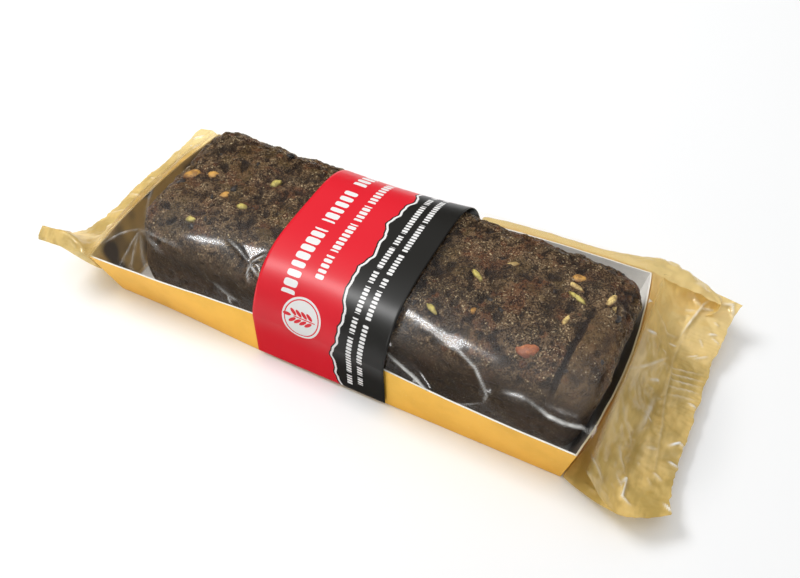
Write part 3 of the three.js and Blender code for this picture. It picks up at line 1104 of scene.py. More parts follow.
@dataclass
class CardTray:
    """Folded card tray, gold outside and white inside, pinched by the band and pushed out by the loaf."""

    length: float = 190.0
    width: float = 84.0
    height: float = 20.0
    card: float = 0.6
    lean: float = 3.4
    pinch_depth: float = 4.2
    pinch_middle: float = -8.0
    pinch_reach: float = 52.0
    left_bulge: float = 3.2
    right_bulge: float = 4.1
    far_spread: float = 2.2
    spread_span: Span = (8.0, 45.0)
    left_tuck: float = 2.0
    tuck_span: Span = (15.0, 80.0)
    end_tuck_span: Span = (0.0, 36.0)
    ripple: float = 0.22
    ripple_counts: Pair = (7.0, 5.0)
    ripple_level: float = 3.0
    fold_radius: float = 0.07
    fold_angle: float = 40.0
    fold_segments: int = 2
    grid: Grid = (110, 50, 12)

    def pinch(self, x: float) -> float:
        """How far a long wall's rim is drawn in at x."""
        return self.pinch_depth * math.exp(-(((x - self.pinch_middle) / self.pinch_reach) ** 2))

    def wall_y(self, x: float, z: float, side: float) -> float:
        """Half the outer width of the tray.

        Args:
            x: The place along the tray.
            z: The height.
            side: Less than 0 for the front wall and more for the back one.

        Returns:
            The distance of that wall from the middle.
        """
        spread = self.far_spread * smoothstep(x, *self.spread_span) if side > 0 else 0.0
        tuck = self.left_tuck * smoothstep(-x, *self.tuck_span) if side < 0 else 0.0
        foot = self.width / 2 - self.lean - tuck
        return foot + (z / self.height) * (self.lean + tuck - self.pinch(x) + spread)

    def wall_x(self, side: float, y: float, z: float) -> float:
        """Half the outer length of the tray.

        Args:
            side: Less than 0 for the left wall and more for the right one.
            y: The place across the tray.
            z: The height.

        Returns:
            The distance of that wall from the middle.
        """
        depth = self.left_bulge if side < 0 else self.right_bulge
        bulge = depth * (1.0 - min(1.0, abs(y) / (self.width / 2)) ** 2)
        tuck = self.left_tuck * smoothstep(-y, *self.end_tuck_span) if side < 0 else 0.0
        lean = self.lean + tuck
        return self.length / 2 - lean + (z / self.height) * (lean + bulge)

    def point(self, u: float, v: float, w: float) -> Vector:
        """A point of the tray's outside.

        Args:
            u: Along the tray, from -1 to 1.
            v: Across it, from -1 to 1.
            w: Up, from -1 to 1.

        Returns:
            The point.
        """
        rise = (w + 1.0) / 2.0
        z = rise * self.height
        along, across = self.ripple_counts
        wave = self.ripple * rise * noise.noise(Vector((u * along, v * across, self.ripple_level)))
        x = u * (self.wall_x(u, v * self.width / 2, z) + wave)
        y = v * (self.wall_y(u * self.length / 2, z, v) + wave)
        return Vector((x, y, z))

    def build(self) -> list[bpy.types.Object]:
        """Builds and dresses the tray.

        Returns:
            Its one piece.
        """
        shape = box_shape(*self.grid)
        lid = [face for face in shape.faces if face.calc_center_median().z > 1.0 - TINY]
        bmesh.ops.delete(shape, geom=lid, context="FACES")
        for vert in shape.verts:
            vert.co = self.point(*vert.co)
        finishes = [finish.make() for finish in (GoldCardFinish(), WHITE_CARD, CUT_EDGE)]
        piece = finished("tray_card", shape, finishes)
        wall = piece.modifiers.new("card", "SOLIDIFY")
        wall.thickness = self.card * MM
        wall.offset = -1.0
        wall.use_even_offset = True
        wall.material_offset = 1
        wall.material_offset_rim = 2
        fold = piece.modifiers.new("folds", "BEVEL")
        fold.width = self.fold_radius * MM
        fold.segments = self.fold_segments
        fold.limit_method = "ANGLE"
        fold.angle_limit = math.radians(self.fold_angle)
        fold.harden_normals = True
        return [settle(piece, Slot.CARD, Node.TRAY)]


class Kind(Enum):
    """What the pieces in the crumb are."""

    NUT = "nut_slivers"
    PEEL = "orange_peel"
    SEED = "green_seeds"
    APRICOT = "apricot"
    GRIT = "seed_specks"
    RAISIN = "dark_fruit"


PIECE_FINISHES = {
    Kind.NUT: PieceFinish("nut", (0.88, 0.66, 0.25), (0.21, 0.105, 0.032)),
    Kind.PEEL: PieceFinish("peel", (0.68, 0.36, 0.075), (0.19, 0.075, 0.019)),
    Kind.SEED: PieceFinish("seed", (0.68, 0.57, 0.15), (0.23, 0.165, 0.034)),
    Kind.APRICOT: PieceFinish("apricot", (0.54, 0.18, 0.065), (0.26, 0.07, 0.026), roughness=0.38),
    Kind.GRIT: PieceFinish("grit", (0.52, 0.42, 0.26), (0.22, 0.15, 0.08)),
    Kind.RAISIN: PieceFinish("raisin", (0.034, 0.020, 0.014), (0.009, 0.007, 0.005), roughness=0.36),
}


@dataclass(frozen=True)
class FruitPiece:
    """A large piece that stands out of the loaf's top."""

    x: float
    y: float
    length: float
    width: float
    turn: float
    kind: Kind


@dataclass(frozen=True)
class Scatter:
    """Small pieces of one kind strewn over the loaf, with their least and most length."""

    kind: Kind
    count: int
    lengths: Span
    seed: int


@dataclass
class FruitLoaf:
    """Pan loaf of dark fruit crumb, with a split near its right end and pieces in its top."""

    left: float = -85.0
    right: float = 97.0
    width: float = 63.0
    height: float = 37.3
    foot: float = 0.9
    shoulder_radius: float = 14.0
    far_shoulder_radius: float = 11.0
    end_radius: float = 8.0
    far_end_radius: float = 17.0
    foot_radius: float = 5.0
    foot_spread: float = 0.05
    far_span: Span = (0.0, 0.7)
    shoulder_span: Span = (-0.6, 0.3)
    narrowing_near: float = 3.2
    narrowing_far: float = 1.6
    narrowing_span: Span = (0.1, 0.9)
    right_lean: float = 7.0
    left_lean: float = 6.0
    lean_span: Span = (0.7, 1.0)
    shift: float = 0.4
    skew: float = -0.022
    crown_drop_near: float = 1.6
    crown_drop_far: float = 0.5
    crown_span: Span = (0.6, 1.0)
    lumps: Layers = ((0.85, 9.5), (0.7, 4.4))
    fine_lumps: Layers = ((0.4, 2.0), (0.2, 1.05))
    chunk_size: float = 4.2
    chunk_height: float = 0.5
    chunk_reach: float = 0.45
    crack_depth: float = 0.35
    crack_span: Span = (0.16, 0.0)
    pit_depth: float = 1.3
    pit_size: float = 3.0
    pit_place: Triple = (7.0, 1.0, 4.0)
    pit_span: Span = (0.24, 0.5)
    side_calm: float = 0.55
    side_span: Span = (31.0, 23.0)
    band_calm: float = 0.6
    band_middle: float = BAND_MIDDLE
    band_span: Span = (25.0, 19.0)
    heel_calm: float = 0.6
    foot_span: Span = (1.5, 8.0)
    split_x: float = SPLIT_X
    split_lean: float = SPLIT_LEAN
    split_near_span: Span = (-36.0, -32.0)
    split_far_span: Span = (-4.0, -10.0)
    split_depth: float = 1.8
    split_width: float = 1.1
    split_power: float = 0.6
    heel_drop: float = 0.4
    heel_x: Span = (0.0, 1.0)
    heel_y: Span = (6.0, -6.0)
    top_span: Span = (22.0, 30.0)
    note_share: float = 0.3
    grid: Grid = (270, 92, 44)
    large_stand: float = 0.55
    large_sink: float = 0.3
    large_thickness: float = 0.72
    large_uneven: float = 0.28
    large_lumps: float = 3.5
    large_step: float = 3.0
    small_along: Span = (-0.97, 0.97)
    small_across: Span = (-0.96, 0.96)
    small_power: float = 2.2
    small_widths: Span = (0.45, 0.85)
    small_thickness: float = 0.6
    small_sink: float = 0.16
    scatters: tuple[Scatter, ...] = (
        Scatter(Kind.GRIT, count=700, lengths=(0.35, 1.1), seed=352),
        Scatter(Kind.RAISIN, count=36, lengths=(2.4, 5.0), seed=351),
    )
    pieces: tuple[FruitPiece, ...] = (
        FruitPiece(70.0, -24.0, 8.5, 6.0, 20.0, Kind.APRICOT),
        FruitPiece(87.6, 7.5, 6.5, 2.6, 80.0, Kind.NUT),
        FruitPiece(89.4, 6.0, 5.5, 2.2, 105.0, Kind.NUT),
        FruitPiece(75.0, 13.0, 5.5, 3.6, 10.0, Kind.PEEL),
        FruitPiece(75.0, 8.5, 6.8, 2.3, -20.0, Kind.NUT),
        FruitPiece(77.0, 3.5, 7.5, 2.0, -25.0, Kind.SEED),
        FruitPiece(77.0, -8.0, 5.0, 2.0, 80.0, Kind.NUT),
        FruitPiece(44.0, -2.5, 6.0, 2.2, -35.0, Kind.SEED),
        FruitPiece(48.0, -17.0, 5.0, 2.8, 60.0, Kind.PEEL),
        FruitPiece(53.0, 8.5, 4.5, 2.0, 30.0, Kind.NUT),
        FruitPiece(36.0, -22.0, 6.0, 2.0, -30.0, Kind.SEED),
        FruitPiece(-73.0, -1.5, 7.0, 5.0, 40.0, Kind.PEEL),
        FruitPiece(-66.0, 2.0, 5.0, 4.0, 10.0, Kind.PEEL),
        FruitPiece(-55.0, -6.0, 5.0, 3.5, 50.0, Kind.PEEL),
        FruitPiece(-46.0, -8.5, 4.5, 3.0, 0.0, Kind.SEED),
        FruitPiece(-60.0, -21.0, 4.5, 3.0, 30.0, Kind.SEED),
        FruitPiece(-42.0, 8.0, 5.0, 3.2, 70.0, Kind.SEED),
    )

    def skin(self, u: float, v: float, w: float) -> tuple[Vector, Vector]:
        """A point of the loaf's smooth form.

        Args:
            u: Along the loaf, from -1 to 1.
            v: Across it, from -1 to 1.
            w: Up, from -1 to 1.

        Returns:
            The point and the way out of the loaf there.
        """
        narrowing = self.narrowing_near if v < 0 else self.narrowing_far
        half_width = self.width / 2 - narrowing * smoothstep(u, *self.narrowing_span)
        half = Vector(((self.right - self.left) / 2, half_width, self.height / 2))
        far = smoothstep(v, *self.far_span)
        shoulder = mix(self.shoulder_radius, self.far_shoulder_radius, far)
        edge = mix(self.foot_radius, shoulder, smoothstep(w, *self.shoulder_span))
        end = mix(self.end_radius, self.far_end_radius, far)
        radius = Vector((min(edge * end / self.end_radius, end) if u > 0 else edge, edge, edge))
        point = Vector((u * half.x, v * half.y, w * half.z))
        inner = Vector([clamp(p, r - h, h - r) for p, h, r in zip(point, half, radius)])
        outward = Vector([(p - i) / r for p, i, r in zip(point, inner, radius)]).normalized()
        point = inner + outward * radius
        height = point.z / self.height + 0.5
        lean = self.right_lean * smoothstep(u, *self.lean_span)
        lean -= self.left_lean * smoothstep(-u, *self.lean_span)
        x = point.x + (self.left + self.right) / 2 - lean * (1.0 - height) ** 2
        y = point.y * (1.0 + self.foot_spread * (1.0 - height)) + self.shift + self.skew * x
        crown_drop = self.crown_drop_near if v < 0 else self.crown_drop_far
        drop = crown_drop * v * v * smoothstep(height, *self.crown_span)
        return Vector((x, y, point.z + self.height / 2 + self.foot - drop)), outward

    def crags(self, point: Vector) -> float:
        """How far the rough crumb stands out, less on the sides, under the band and on the heel.

        Args:
            point: A point of the smooth form.

        Returns:
            The distance in millimetres.
        """
        near, _ = noise.voronoi(point / self.chunk_size)
        chunk = self.chunk_height * (self.chunk_reach - near[0])
        crack = -self.crack_depth * smoothstep(near[1] - near[0], *self.crack_span)
        hollow = noise.noise(point / self.pit_size + Vector(self.pit_place))
        pit = -self.pit_depth * smoothstep(hollow, *self.pit_span)
        fine = layered(point, self.fine_lumps) + chunk + crack + pit
        rough = layered(point, self.lumps) + fine * (1.0 - self.heel_calm * self.heel(point))
        calm = 1.0 - self.side_calm * smoothstep(point.z, *self.side_span)
        calm *= 1.0 - self.band_calm * smoothstep(abs(point.x - self.band_middle), *self.band_span)
        return rough * calm * smoothstep(point.z, *self.foot_span)

    def heel(self, point: Vector) -> float:
        """1 on the smooth heel beyond the split, and 0 elsewhere."""
        past_split = point.x - self.split_x - self.split_lean * point.y
        return smoothstep(past_split, *self.heel_x) * smoothstep(point.y, *self.heel_y)

    def split(self, point: Vector) -> float:
        """How deep the split is.

        Args:
            point: A point of the smooth form.

        Returns:
            The depth in millimetres.
        """
        line = self.split_x + self.split_lean * point.y
        near = max(0.0, 1.0 - abs(point.x - line) / self.split_width)
        ends = smoothstep(point.y, *self.split_near_span)
        ends *= smoothstep(point.y, *self.split_far_span)
        return self.split_depth * near**self.split_power * ends * smoothstep(point.z, *self.top_span)

    def rough(self, u: float, v: float, w: float) -> tuple[Vector, float]:
        """A point of the rough loaf.

        Args:
            u: Along the loaf, from -1 to 1.
            v: Across it, from -1 to 1.
            w: Up, from -1 to 1.

        Returns:
            The point, and how far it stands out as a share from 0 to 1.
        """
        point, outward = self.skin(u, v, w)
        out = self.crags(point)
        split = self.split(point)
        drop = split + self.heel_drop * self.heel(point) * smoothstep(point.z, *self.top_span)
        note = clamp(0.5 + self.note_share * out - split, 0.0, 1.0)
        return point + outward * out - Vector((0.0, 0.0, drop)), note

    def top(self, x: float, y: float) -> Vector:
        """The rough top's point near a place.

        Args:
            x: The place along the loaf.
            y: The place across it.

        Returns:
            The point.
        """
        u = clamp(2.0 * (x - self.left) / (self.right - self.left) - 1.0, -1.0, 1.0)
        v = clamp(2.0 * (y - self.shift - self.skew * x) / self.width, -1.0, 1.0)
        return self.rough(u, v, 1.0)[0]

    def crumb(self) -> bmesh.types.BMesh:
        """The loaf itself, with a note at each point of how far it stands out.

        Returns:
            Its shape.
        """
        shape = box_shape(*self.grid)
        layer = shape.verts.layers.float.new(CRAG_NAME)
        for vert in shape.verts:
            vert.co, vert[layer] = self.rough(*vert.co)
        return shape

    def large_pieces(self, kind: Kind) -> bmesh.types.BMesh:
        """The large pieces of one kind, as uneven lumps sunk in the top.

        Args:
            kind: The kind.

        Returns:
            Their shape.
        """
        shape = bmesh.new()
        layer = shape.verts.layers.float.new(CRAG_NAME)
        for number, piece in enumerate(self.pieces):
            if piece.kind is not kind:
                continue
            added = bmesh.ops.create_icosphere(shape, subdivisions=3, radius=0.5)["verts"]
            turn = Matrix.Rotation(math.radians(piece.turn), 3, "Z")
            stand = Vector((0.0, 0.0, self.large_stand - piece.width * self.large_sink))
            centre = self.top(piece.x, piece.y) + stand
            own_place = Vector((number * self.large_step, 0.0, 0.0))
            for vert in added:
                x, y, z = vert.co
                vert[layer] = z + 0.5
                uneven = 1.0 + self.large_uneven * noise.noise(vert.co * self.large_lumps + own_place)
                long = Vector((x * piece.length, y * piece.width, z * piece.width * self.large_thickness))
                vert.co = centre + turn @ (long * uneven)
        return shape

    def small_pieces(self, scatter: Scatter) -> bmesh.types.BMesh:
        """The small pieces of one kind, over the top and the shoulders.

        Args:
            scatter: What is strewn.

        Returns:
            Their shape.
        """
        draw = random.Random(scatter.seed)
        shape = bmesh.new()
        layer = shape.verts.layers.float.new(CRAG_NAME)
        for _ in range(scatter.count):
            u = draw.uniform(*self.small_along)
            v = draw.uniform(*self.small_across)
            _, outward = self.skin(u, v, 1.0)
            centre, _ = self.rough(u, v, 1.0)
            size = mix(*scatter.lengths, draw.random() ** self.small_power)
            spin = Matrix.Rotation(draw.uniform(0.0, math.tau), 3, "Z")
            stand = outward.to_track_quat("Z", "X").to_matrix() @ spin
            ratio = draw.uniform(*self.small_widths)
            added = bmesh.ops.create_icosphere(shape, subdivisions=1, radius=0.5)["verts"]
            sunk = centre - outward * (size * self.small_sink)
            for vert in added:
                x, y, z = vert.co
                vert[layer] = z + 0.5
                long = Vector((x * size, y * size * ratio, z * size * self.small_thickness))
                vert.co = sunk + stand @ long
        return shape

    def build(self) -> list[bpy.types.Object]:
        """Builds and dresses the loaf and what is in its top.

        Returns:
            The pieces.
        """
        pieces = [finished("loaf_crumb", self.crumb(), [CrumbFinish().make()])]
        small = {scatter.kind: scatter for scatter in self.scatters}
        for kind, finish in PIECE_FINISHES.items():
            shape = self.small_pieces(small[kind]) if kind in small else self.large_pieces(kind)
            pieces.append(finished(kind.value, shape, [finish.make()]))
        return [settle(piece, Slot.CRUMB, Node.LOAF) for piece in pieces]


@dataclass(frozen=True)
class FinCorner:
    """One corner of a sealed end."""

    half_width: float
    reach: float
    curl: float
    hump: float = 0.0
    bulge: float = 0.0
    hem: float = 0.0


@dataclass(frozen=True)
class Fin:
    """A flat sealed end of the bag."""

    edge: float
    skew: float
    height: float
    foot: float
    near: FinCorner
    far: FinCorner

    def corner(self, v: float) -> FinCorner:
        """The corner on the side that the sign of v names."""
        return self.near if v < 0 else self.far


@dataclass(frozen=True)
class Slope:
    """Where the bag's spine starts to fall towards an end, and how suddenly."""

    start: float
    power: float


@dataclass(frozen=True)
class Swell:
    """A soft rise or dip in the film."""

    x: float
    y: float
    height: float
    reach_x: float
    reach_y: float
    farthest: float = 6.0

    def lift(self, x: float, y: float) -> float:
        """How far the film rises at a place."""
        away = ((x - self.x) / self.reach_x) ** 2 + ((y - self.y) / self.reach_y) ** 2
        return self.height * math.exp(-away) if away < self.farthest else 0.0


@dataclass
class Fold:
    """A sharp fold in the film along a line of places, with a painted white glint along it."""

    height: float
    width: float
    line: tuple[Pair, ...]
    painted_glint: float = 0.2
    painted_glint_width: float = 0.55
    end_share: float = 0.1
    end_rise: float = 3.0
    uneven_size: float = 2.5
    uneven_level: float = 7.0
    uneven_mean: float = 0.8
    uneven_swing: float = 0.6
    sharpness: float = 1.35

    def __post_init__(self) -> None:
        """Notes the box that the fold reaches."""
        self.low = [min(place[axis] for place in self.line) - self.width for axis in (0, 1)]
        self.high = [max(place[axis] for place in self.line) + self.width for axis in (0, 1)]

    def near(self, x: float, y: float) -> tuple[float, float]:
        """How a place lies to the fold.

        Args:
            x: The place along the pack.
            y: The place across or round it.

        Returns:
            The distance from the fold's line, at most its width, and a share that is less at its ends.
        """
        if not (self.low[0] < x < self.high[0] and self.low[1] < y < self.high[1]):
            return self.width, 0.0
        nearest, share = self.width, 0.0
        for number, ((ax, ay), (bx, by)) in enumerate(zip(self.line, self.line[1:])):
            run_x, run_y = bx - ax, by - ay
            along = ((x - ax) * run_x + (y - ay) * run_y) / (run_x**2 + run_y**2)
            along = clamp(along, 0.0, 1.0)
            off = math.hypot(x - ax - along * run_x, y - ay - along * run_y)
            if off < nearest:
                nearest, share = off, (number + along) / (len(self.line) - 1)
        grown = self.end_share + self.end_rise * share
        waning = self.end_share + self.end_rise * (1.0 - share)
        return nearest, min(1.0, grown, waning)

    def lift(self, x: float, y: float) -> float:
        """How far the fold lifts the film at a place, less towards its two ends."""
        nearest, ends = self.near(x, y)
        return self.height * ends * (1.0 - nearest / self.width) ** 2

    def mark(self, x: float, y: float) -> float:
        """How strongly the painted glint shows, unevenly along it.

        Args:
            x: The place along the pack.
            y: The place across or round it.

        Returns:
            A share from 0 to 1.
        """
        nearest, ends = self.near(x, y)
        spot = Vector((x / self.uneven_size, y / self.uneven_size, self.uneven_level))
        uneven = self.uneven_mean + self.uneven_swing * noise.noise(spot)
        line = clamp(self.sharpness * (1.0 - nearest / self.painted_glint_width), 0.0, 1.0)
        return clamp(self.painted_glint * ends * uneven, 0.0, 1.0) * line


@dataclass(frozen=True)
class LooseFolds:
    """Short folds strewn over a sealed end, each with values drawn from these spans."""

    x: Span
    count: int
    seed: int
    y: Span = (-40.0, 46.0)
    angle: Span = (-55.0, 55.0)
    length: Span = (1.2, 4.5)
    height: Span = (0.2, 0.6)
    width: float = 1.2
    painted_glint: Span = (0.1, 0.6)
    painted_glint_width: float = 0.45

    def make(self) -> tuple[Fold, ...]:
        """Strews the folds.

        Returns:
            The folds.
        """
        draw = random.Random(self.seed)
        folds = []
        for _ in range(self.count):
            x = draw.uniform(*self.x)
            y = draw.uniform(*self.y)
            angle = math.radians(draw.uniform(*self.angle))
            length = draw.uniform(*self.length)
            end = (x + length * math.cos(angle), y + length * math.sin(angle))
            height = draw.uniform(*self.height)
            painted_glint = draw.uniform(*self.painted_glint)
            folds.append(Fold(height, self.width, ((x, y), end), painted_glint, self.painted_glint_width))
        return tuple(folds)


BODY_SWELLS = (
    Swell(28.0, -30.0, -1.3, 13.0, 7.0),
    Swell(-24.0, -29.0, -1.3, 13.0, 7.0),
    Swell(66.0, -36.0, 0.5, 8.0, 7.0),
    Swell(-58.0, -30.0, 0.6, 9.0, 6.0),
)
BODY_FOLDS = (
    Fold(
        0.5,
        3.0,
        ((42.0, -29.6), (51.0, -29.9), (57.2, -32.2), (61.5, -35.9), (63.4, -38.3), (62.9, -41.1)),
        painted_glint=0.6,
    ),
    Fold(0.4, 2.2, ((62.9, -41.1), (57.0, -45.0), (49.0, -49.0))),
    Fold(1.1, 4.0, ((27.5, -40.6), (34.7, -42.4), (39.5, -43.4), (43.8, -46.0), (44.8, -49.2)), 0.85, 0.8),
    Fold(0.8, 2.4, ((39.5, -43.4), (39.3, -46.6)), 0.7),
    Fold(0.4, 2.5, ((76.0, -34.9), (83.1, -36.9), (88.0, -37.2), (92.0, -36.6), (95.8, -34.9)), 0.95, 0.75),
    Fold(0.5, 2.0, ((95.8, -34.9), (97.8, -27.5)), 0.8),
    Fold(0.6, 1.8, ((-42.0, -23.5), (-35.8, -26.0), (-29.9, -29.7)), 0.3),
    Fold(0.6, 1.6, ((-29.9, -29.7), (-25.3, -24.7)), 0.5),
    Fold(0.6, 1.6, ((-29.9, -29.7), (-27.0, -31.9), (-24.1, -34.0)), 0.5),
    Fold(0.6, 1.6, ((-29.9, -29.7), (-29.4, -33.0), (-27.6, -36.5)), 0.45),
    Fold(0.8, 3.0, ((-41.0, -39.0), (-34.2, -42.2), (-29.8, -43.9)), 0.4),
    Fold(0.6, 2.0, ((-34.2, -42.2), (-33.0, -46.0)), 0.7),
    Fold(0.8, 2.0, ((-75.1, -29.7), (-77.5, -37.0), (-80.7, -45.3)), 0.25, 0.5),
    Fold(0.8, 1.8, ((-75.1, -29.7), (-75.2, -46.3)), 0.25, 0.5),
    Fold(0.8, 1.8, ((-75.1, -29.7), (-71.0, -38.0), (-67.4, -45.1)), 0.2, 0.5),
    Fold(0.9, 2.2, ((-75.1, -29.7), (-83.0, -32.0), (-91.4, -35.7)), 0.3, 0.5),
    Fold(0.6, 2.0, ((-75.1, -29.7), (-63.0, -35.2))),
    Fold(0.5, 2.0, ((-75.1, -29.7), (-55.9, -31.5))),
    Fold(0.6, 2.4, ((-75.1, -26.2), (-82.0, -12.0), (-84.0, 6.0), (-80.0, 20.0))),
)
END_FOLDS = (
    Fold(1.0, 3.0, ((100.0, -3.0), (106.0, 9.0), (110.7, 18.9)), 0.3),
    Fold(1.0, 2.0, ((100.5, 17.2), (104.5, 21.4)), 0.8),
    Fold(1.2, 2.4, ((111.6, 30.0), (113.5, 38.0), (115.6, 45.4), (117.7, 48.0)), 0.6),
    Fold(1.0, 2.0, ((110.5, 48.0), (115.7, 44.0), (122.0, 45.5)), 0.4),
    Fold(0.9, 1.8, ((121.6, 47.9), (125.2, 49.0), (127.2, 44.8)), 0.8),
    Fold(0.7, 1.4, ((120.4, 35.4), (123.6, 36.8)), 0.8),
    Fold(0.7, 2.2, ((101.0, 31.0), (107.0, 27.0), (112.0, 30.0))),
    Fold(0.9, 1.8, ((107.0, 3.4), (110.2, 6.9)), 0.85),
    Fold(1.4, 4.5, ((108.5, -18.5), (109.3, -12.6), (110.2, -6.0), (111.5, 2.8)), 0.35, 1.2),
    Fold(0.6, 2.0, ((100.0, -12.0), (104.0, -19.0), (110.0, -24.0))),
    Fold(0.9, 2.2, ((104.1, -27.2), (107.0, -30.5), (110.2, -33.0)), 0.4),
    Fold(1.3, 1.8, ((109.3, -38.0), (110.7, -34.5), (111.2, -41.5), (114.6, -43.6)), 0.95, 0.65),
    Fold(0.8, 2.2, ((98.5, -38.0), (104.2, -42.0)), 0.4),
    Fold(0.6, 1.6, ((119.0, -30.4), (116.4, -14.7), (113.4, 6.7), (112.0, 18.9), (113.5, 36.0)), 0.12),
    Fold(0.4, 1.0, ((110.9, 14.6), (123.7, 19.3)), 0.4, 0.45),
    Fold(0.4, 1.0, ((111.7, 12.1), (124.2, 16.2)), 0.45, 0.45),
    Fold(0.4, 1.0, ((112.0, 9.6), (124.4, 13.2)), 0.4, 0.45),
    Fold(0.4, 1.0, ((112.4, 7.0), (124.4, 10.2)), 0.4, 0.45),
    Fold(0.3, 1.0, ((113.4, 4.4), (124.4, 7.0)), 0.25, 0.45),
    Fold(0.7, 1.4, ((121.4, 4.7), (124.6, 3.7)), 0.9),
    Fold(0.8, 1.6, ((119.5, -15.6), (122.7, -12.6), (124.9, -13.6)), 0.9, 0.65),
    Fold(0.8, 1.6, ((121.0, -20.7), (125.0, -21.7)), 0.95, 0.65),
    Fold(0.6, 1.4, ((117.6, -27.0), (121.4, -29.0)), 0.5),
    Fold(0.8, 1.6, ((123.4, -36.9), (126.6, -39.3)), 0.9, 0.65),
    Fold(0.7, 1.4, ((118.6, 24.0), (123.2, 27.0)), 0.5),
    Fold(0.8, 2.6, ((-103.0, -30.0), (-105.0, -12.0), (-104.0, 8.0))),
    Fold(0.6, 1.8, ((-101.0, 14.0), (-107.0, 22.0), (-112.0, 34.0))),
    Fold(0.7, 1.4, ((-110.0, 41.0), (-105.0, 44.0)), 0.8),
    Fold(0.7, 1.4, ((-107.0, 36.0), (-103.0, 39.0)), 0.6),
    Fold(0.6, 2.0, ((-100.0, -20.0), (-108.0, -24.0))),
    Fold(0.5, 1.4, ((-108.0, 2.0), (-113.5, 1.0)), 0.4),
    Fold(0.5, 1.4, ((-107.0, -9.0), (-113.5, -11.0)), 0.4),
    Fold(0.7, 1.4, ((-116.0, -36.0), (-113.0, -32.0)), 0.7),
)
LOOSE_FOLDS = (
    LooseFolds(x=(107.0, 122.0), count=18, seed=5).make()
    + LooseFolds(x=(-113.0, -104.0), count=6, seed=8).make()
)


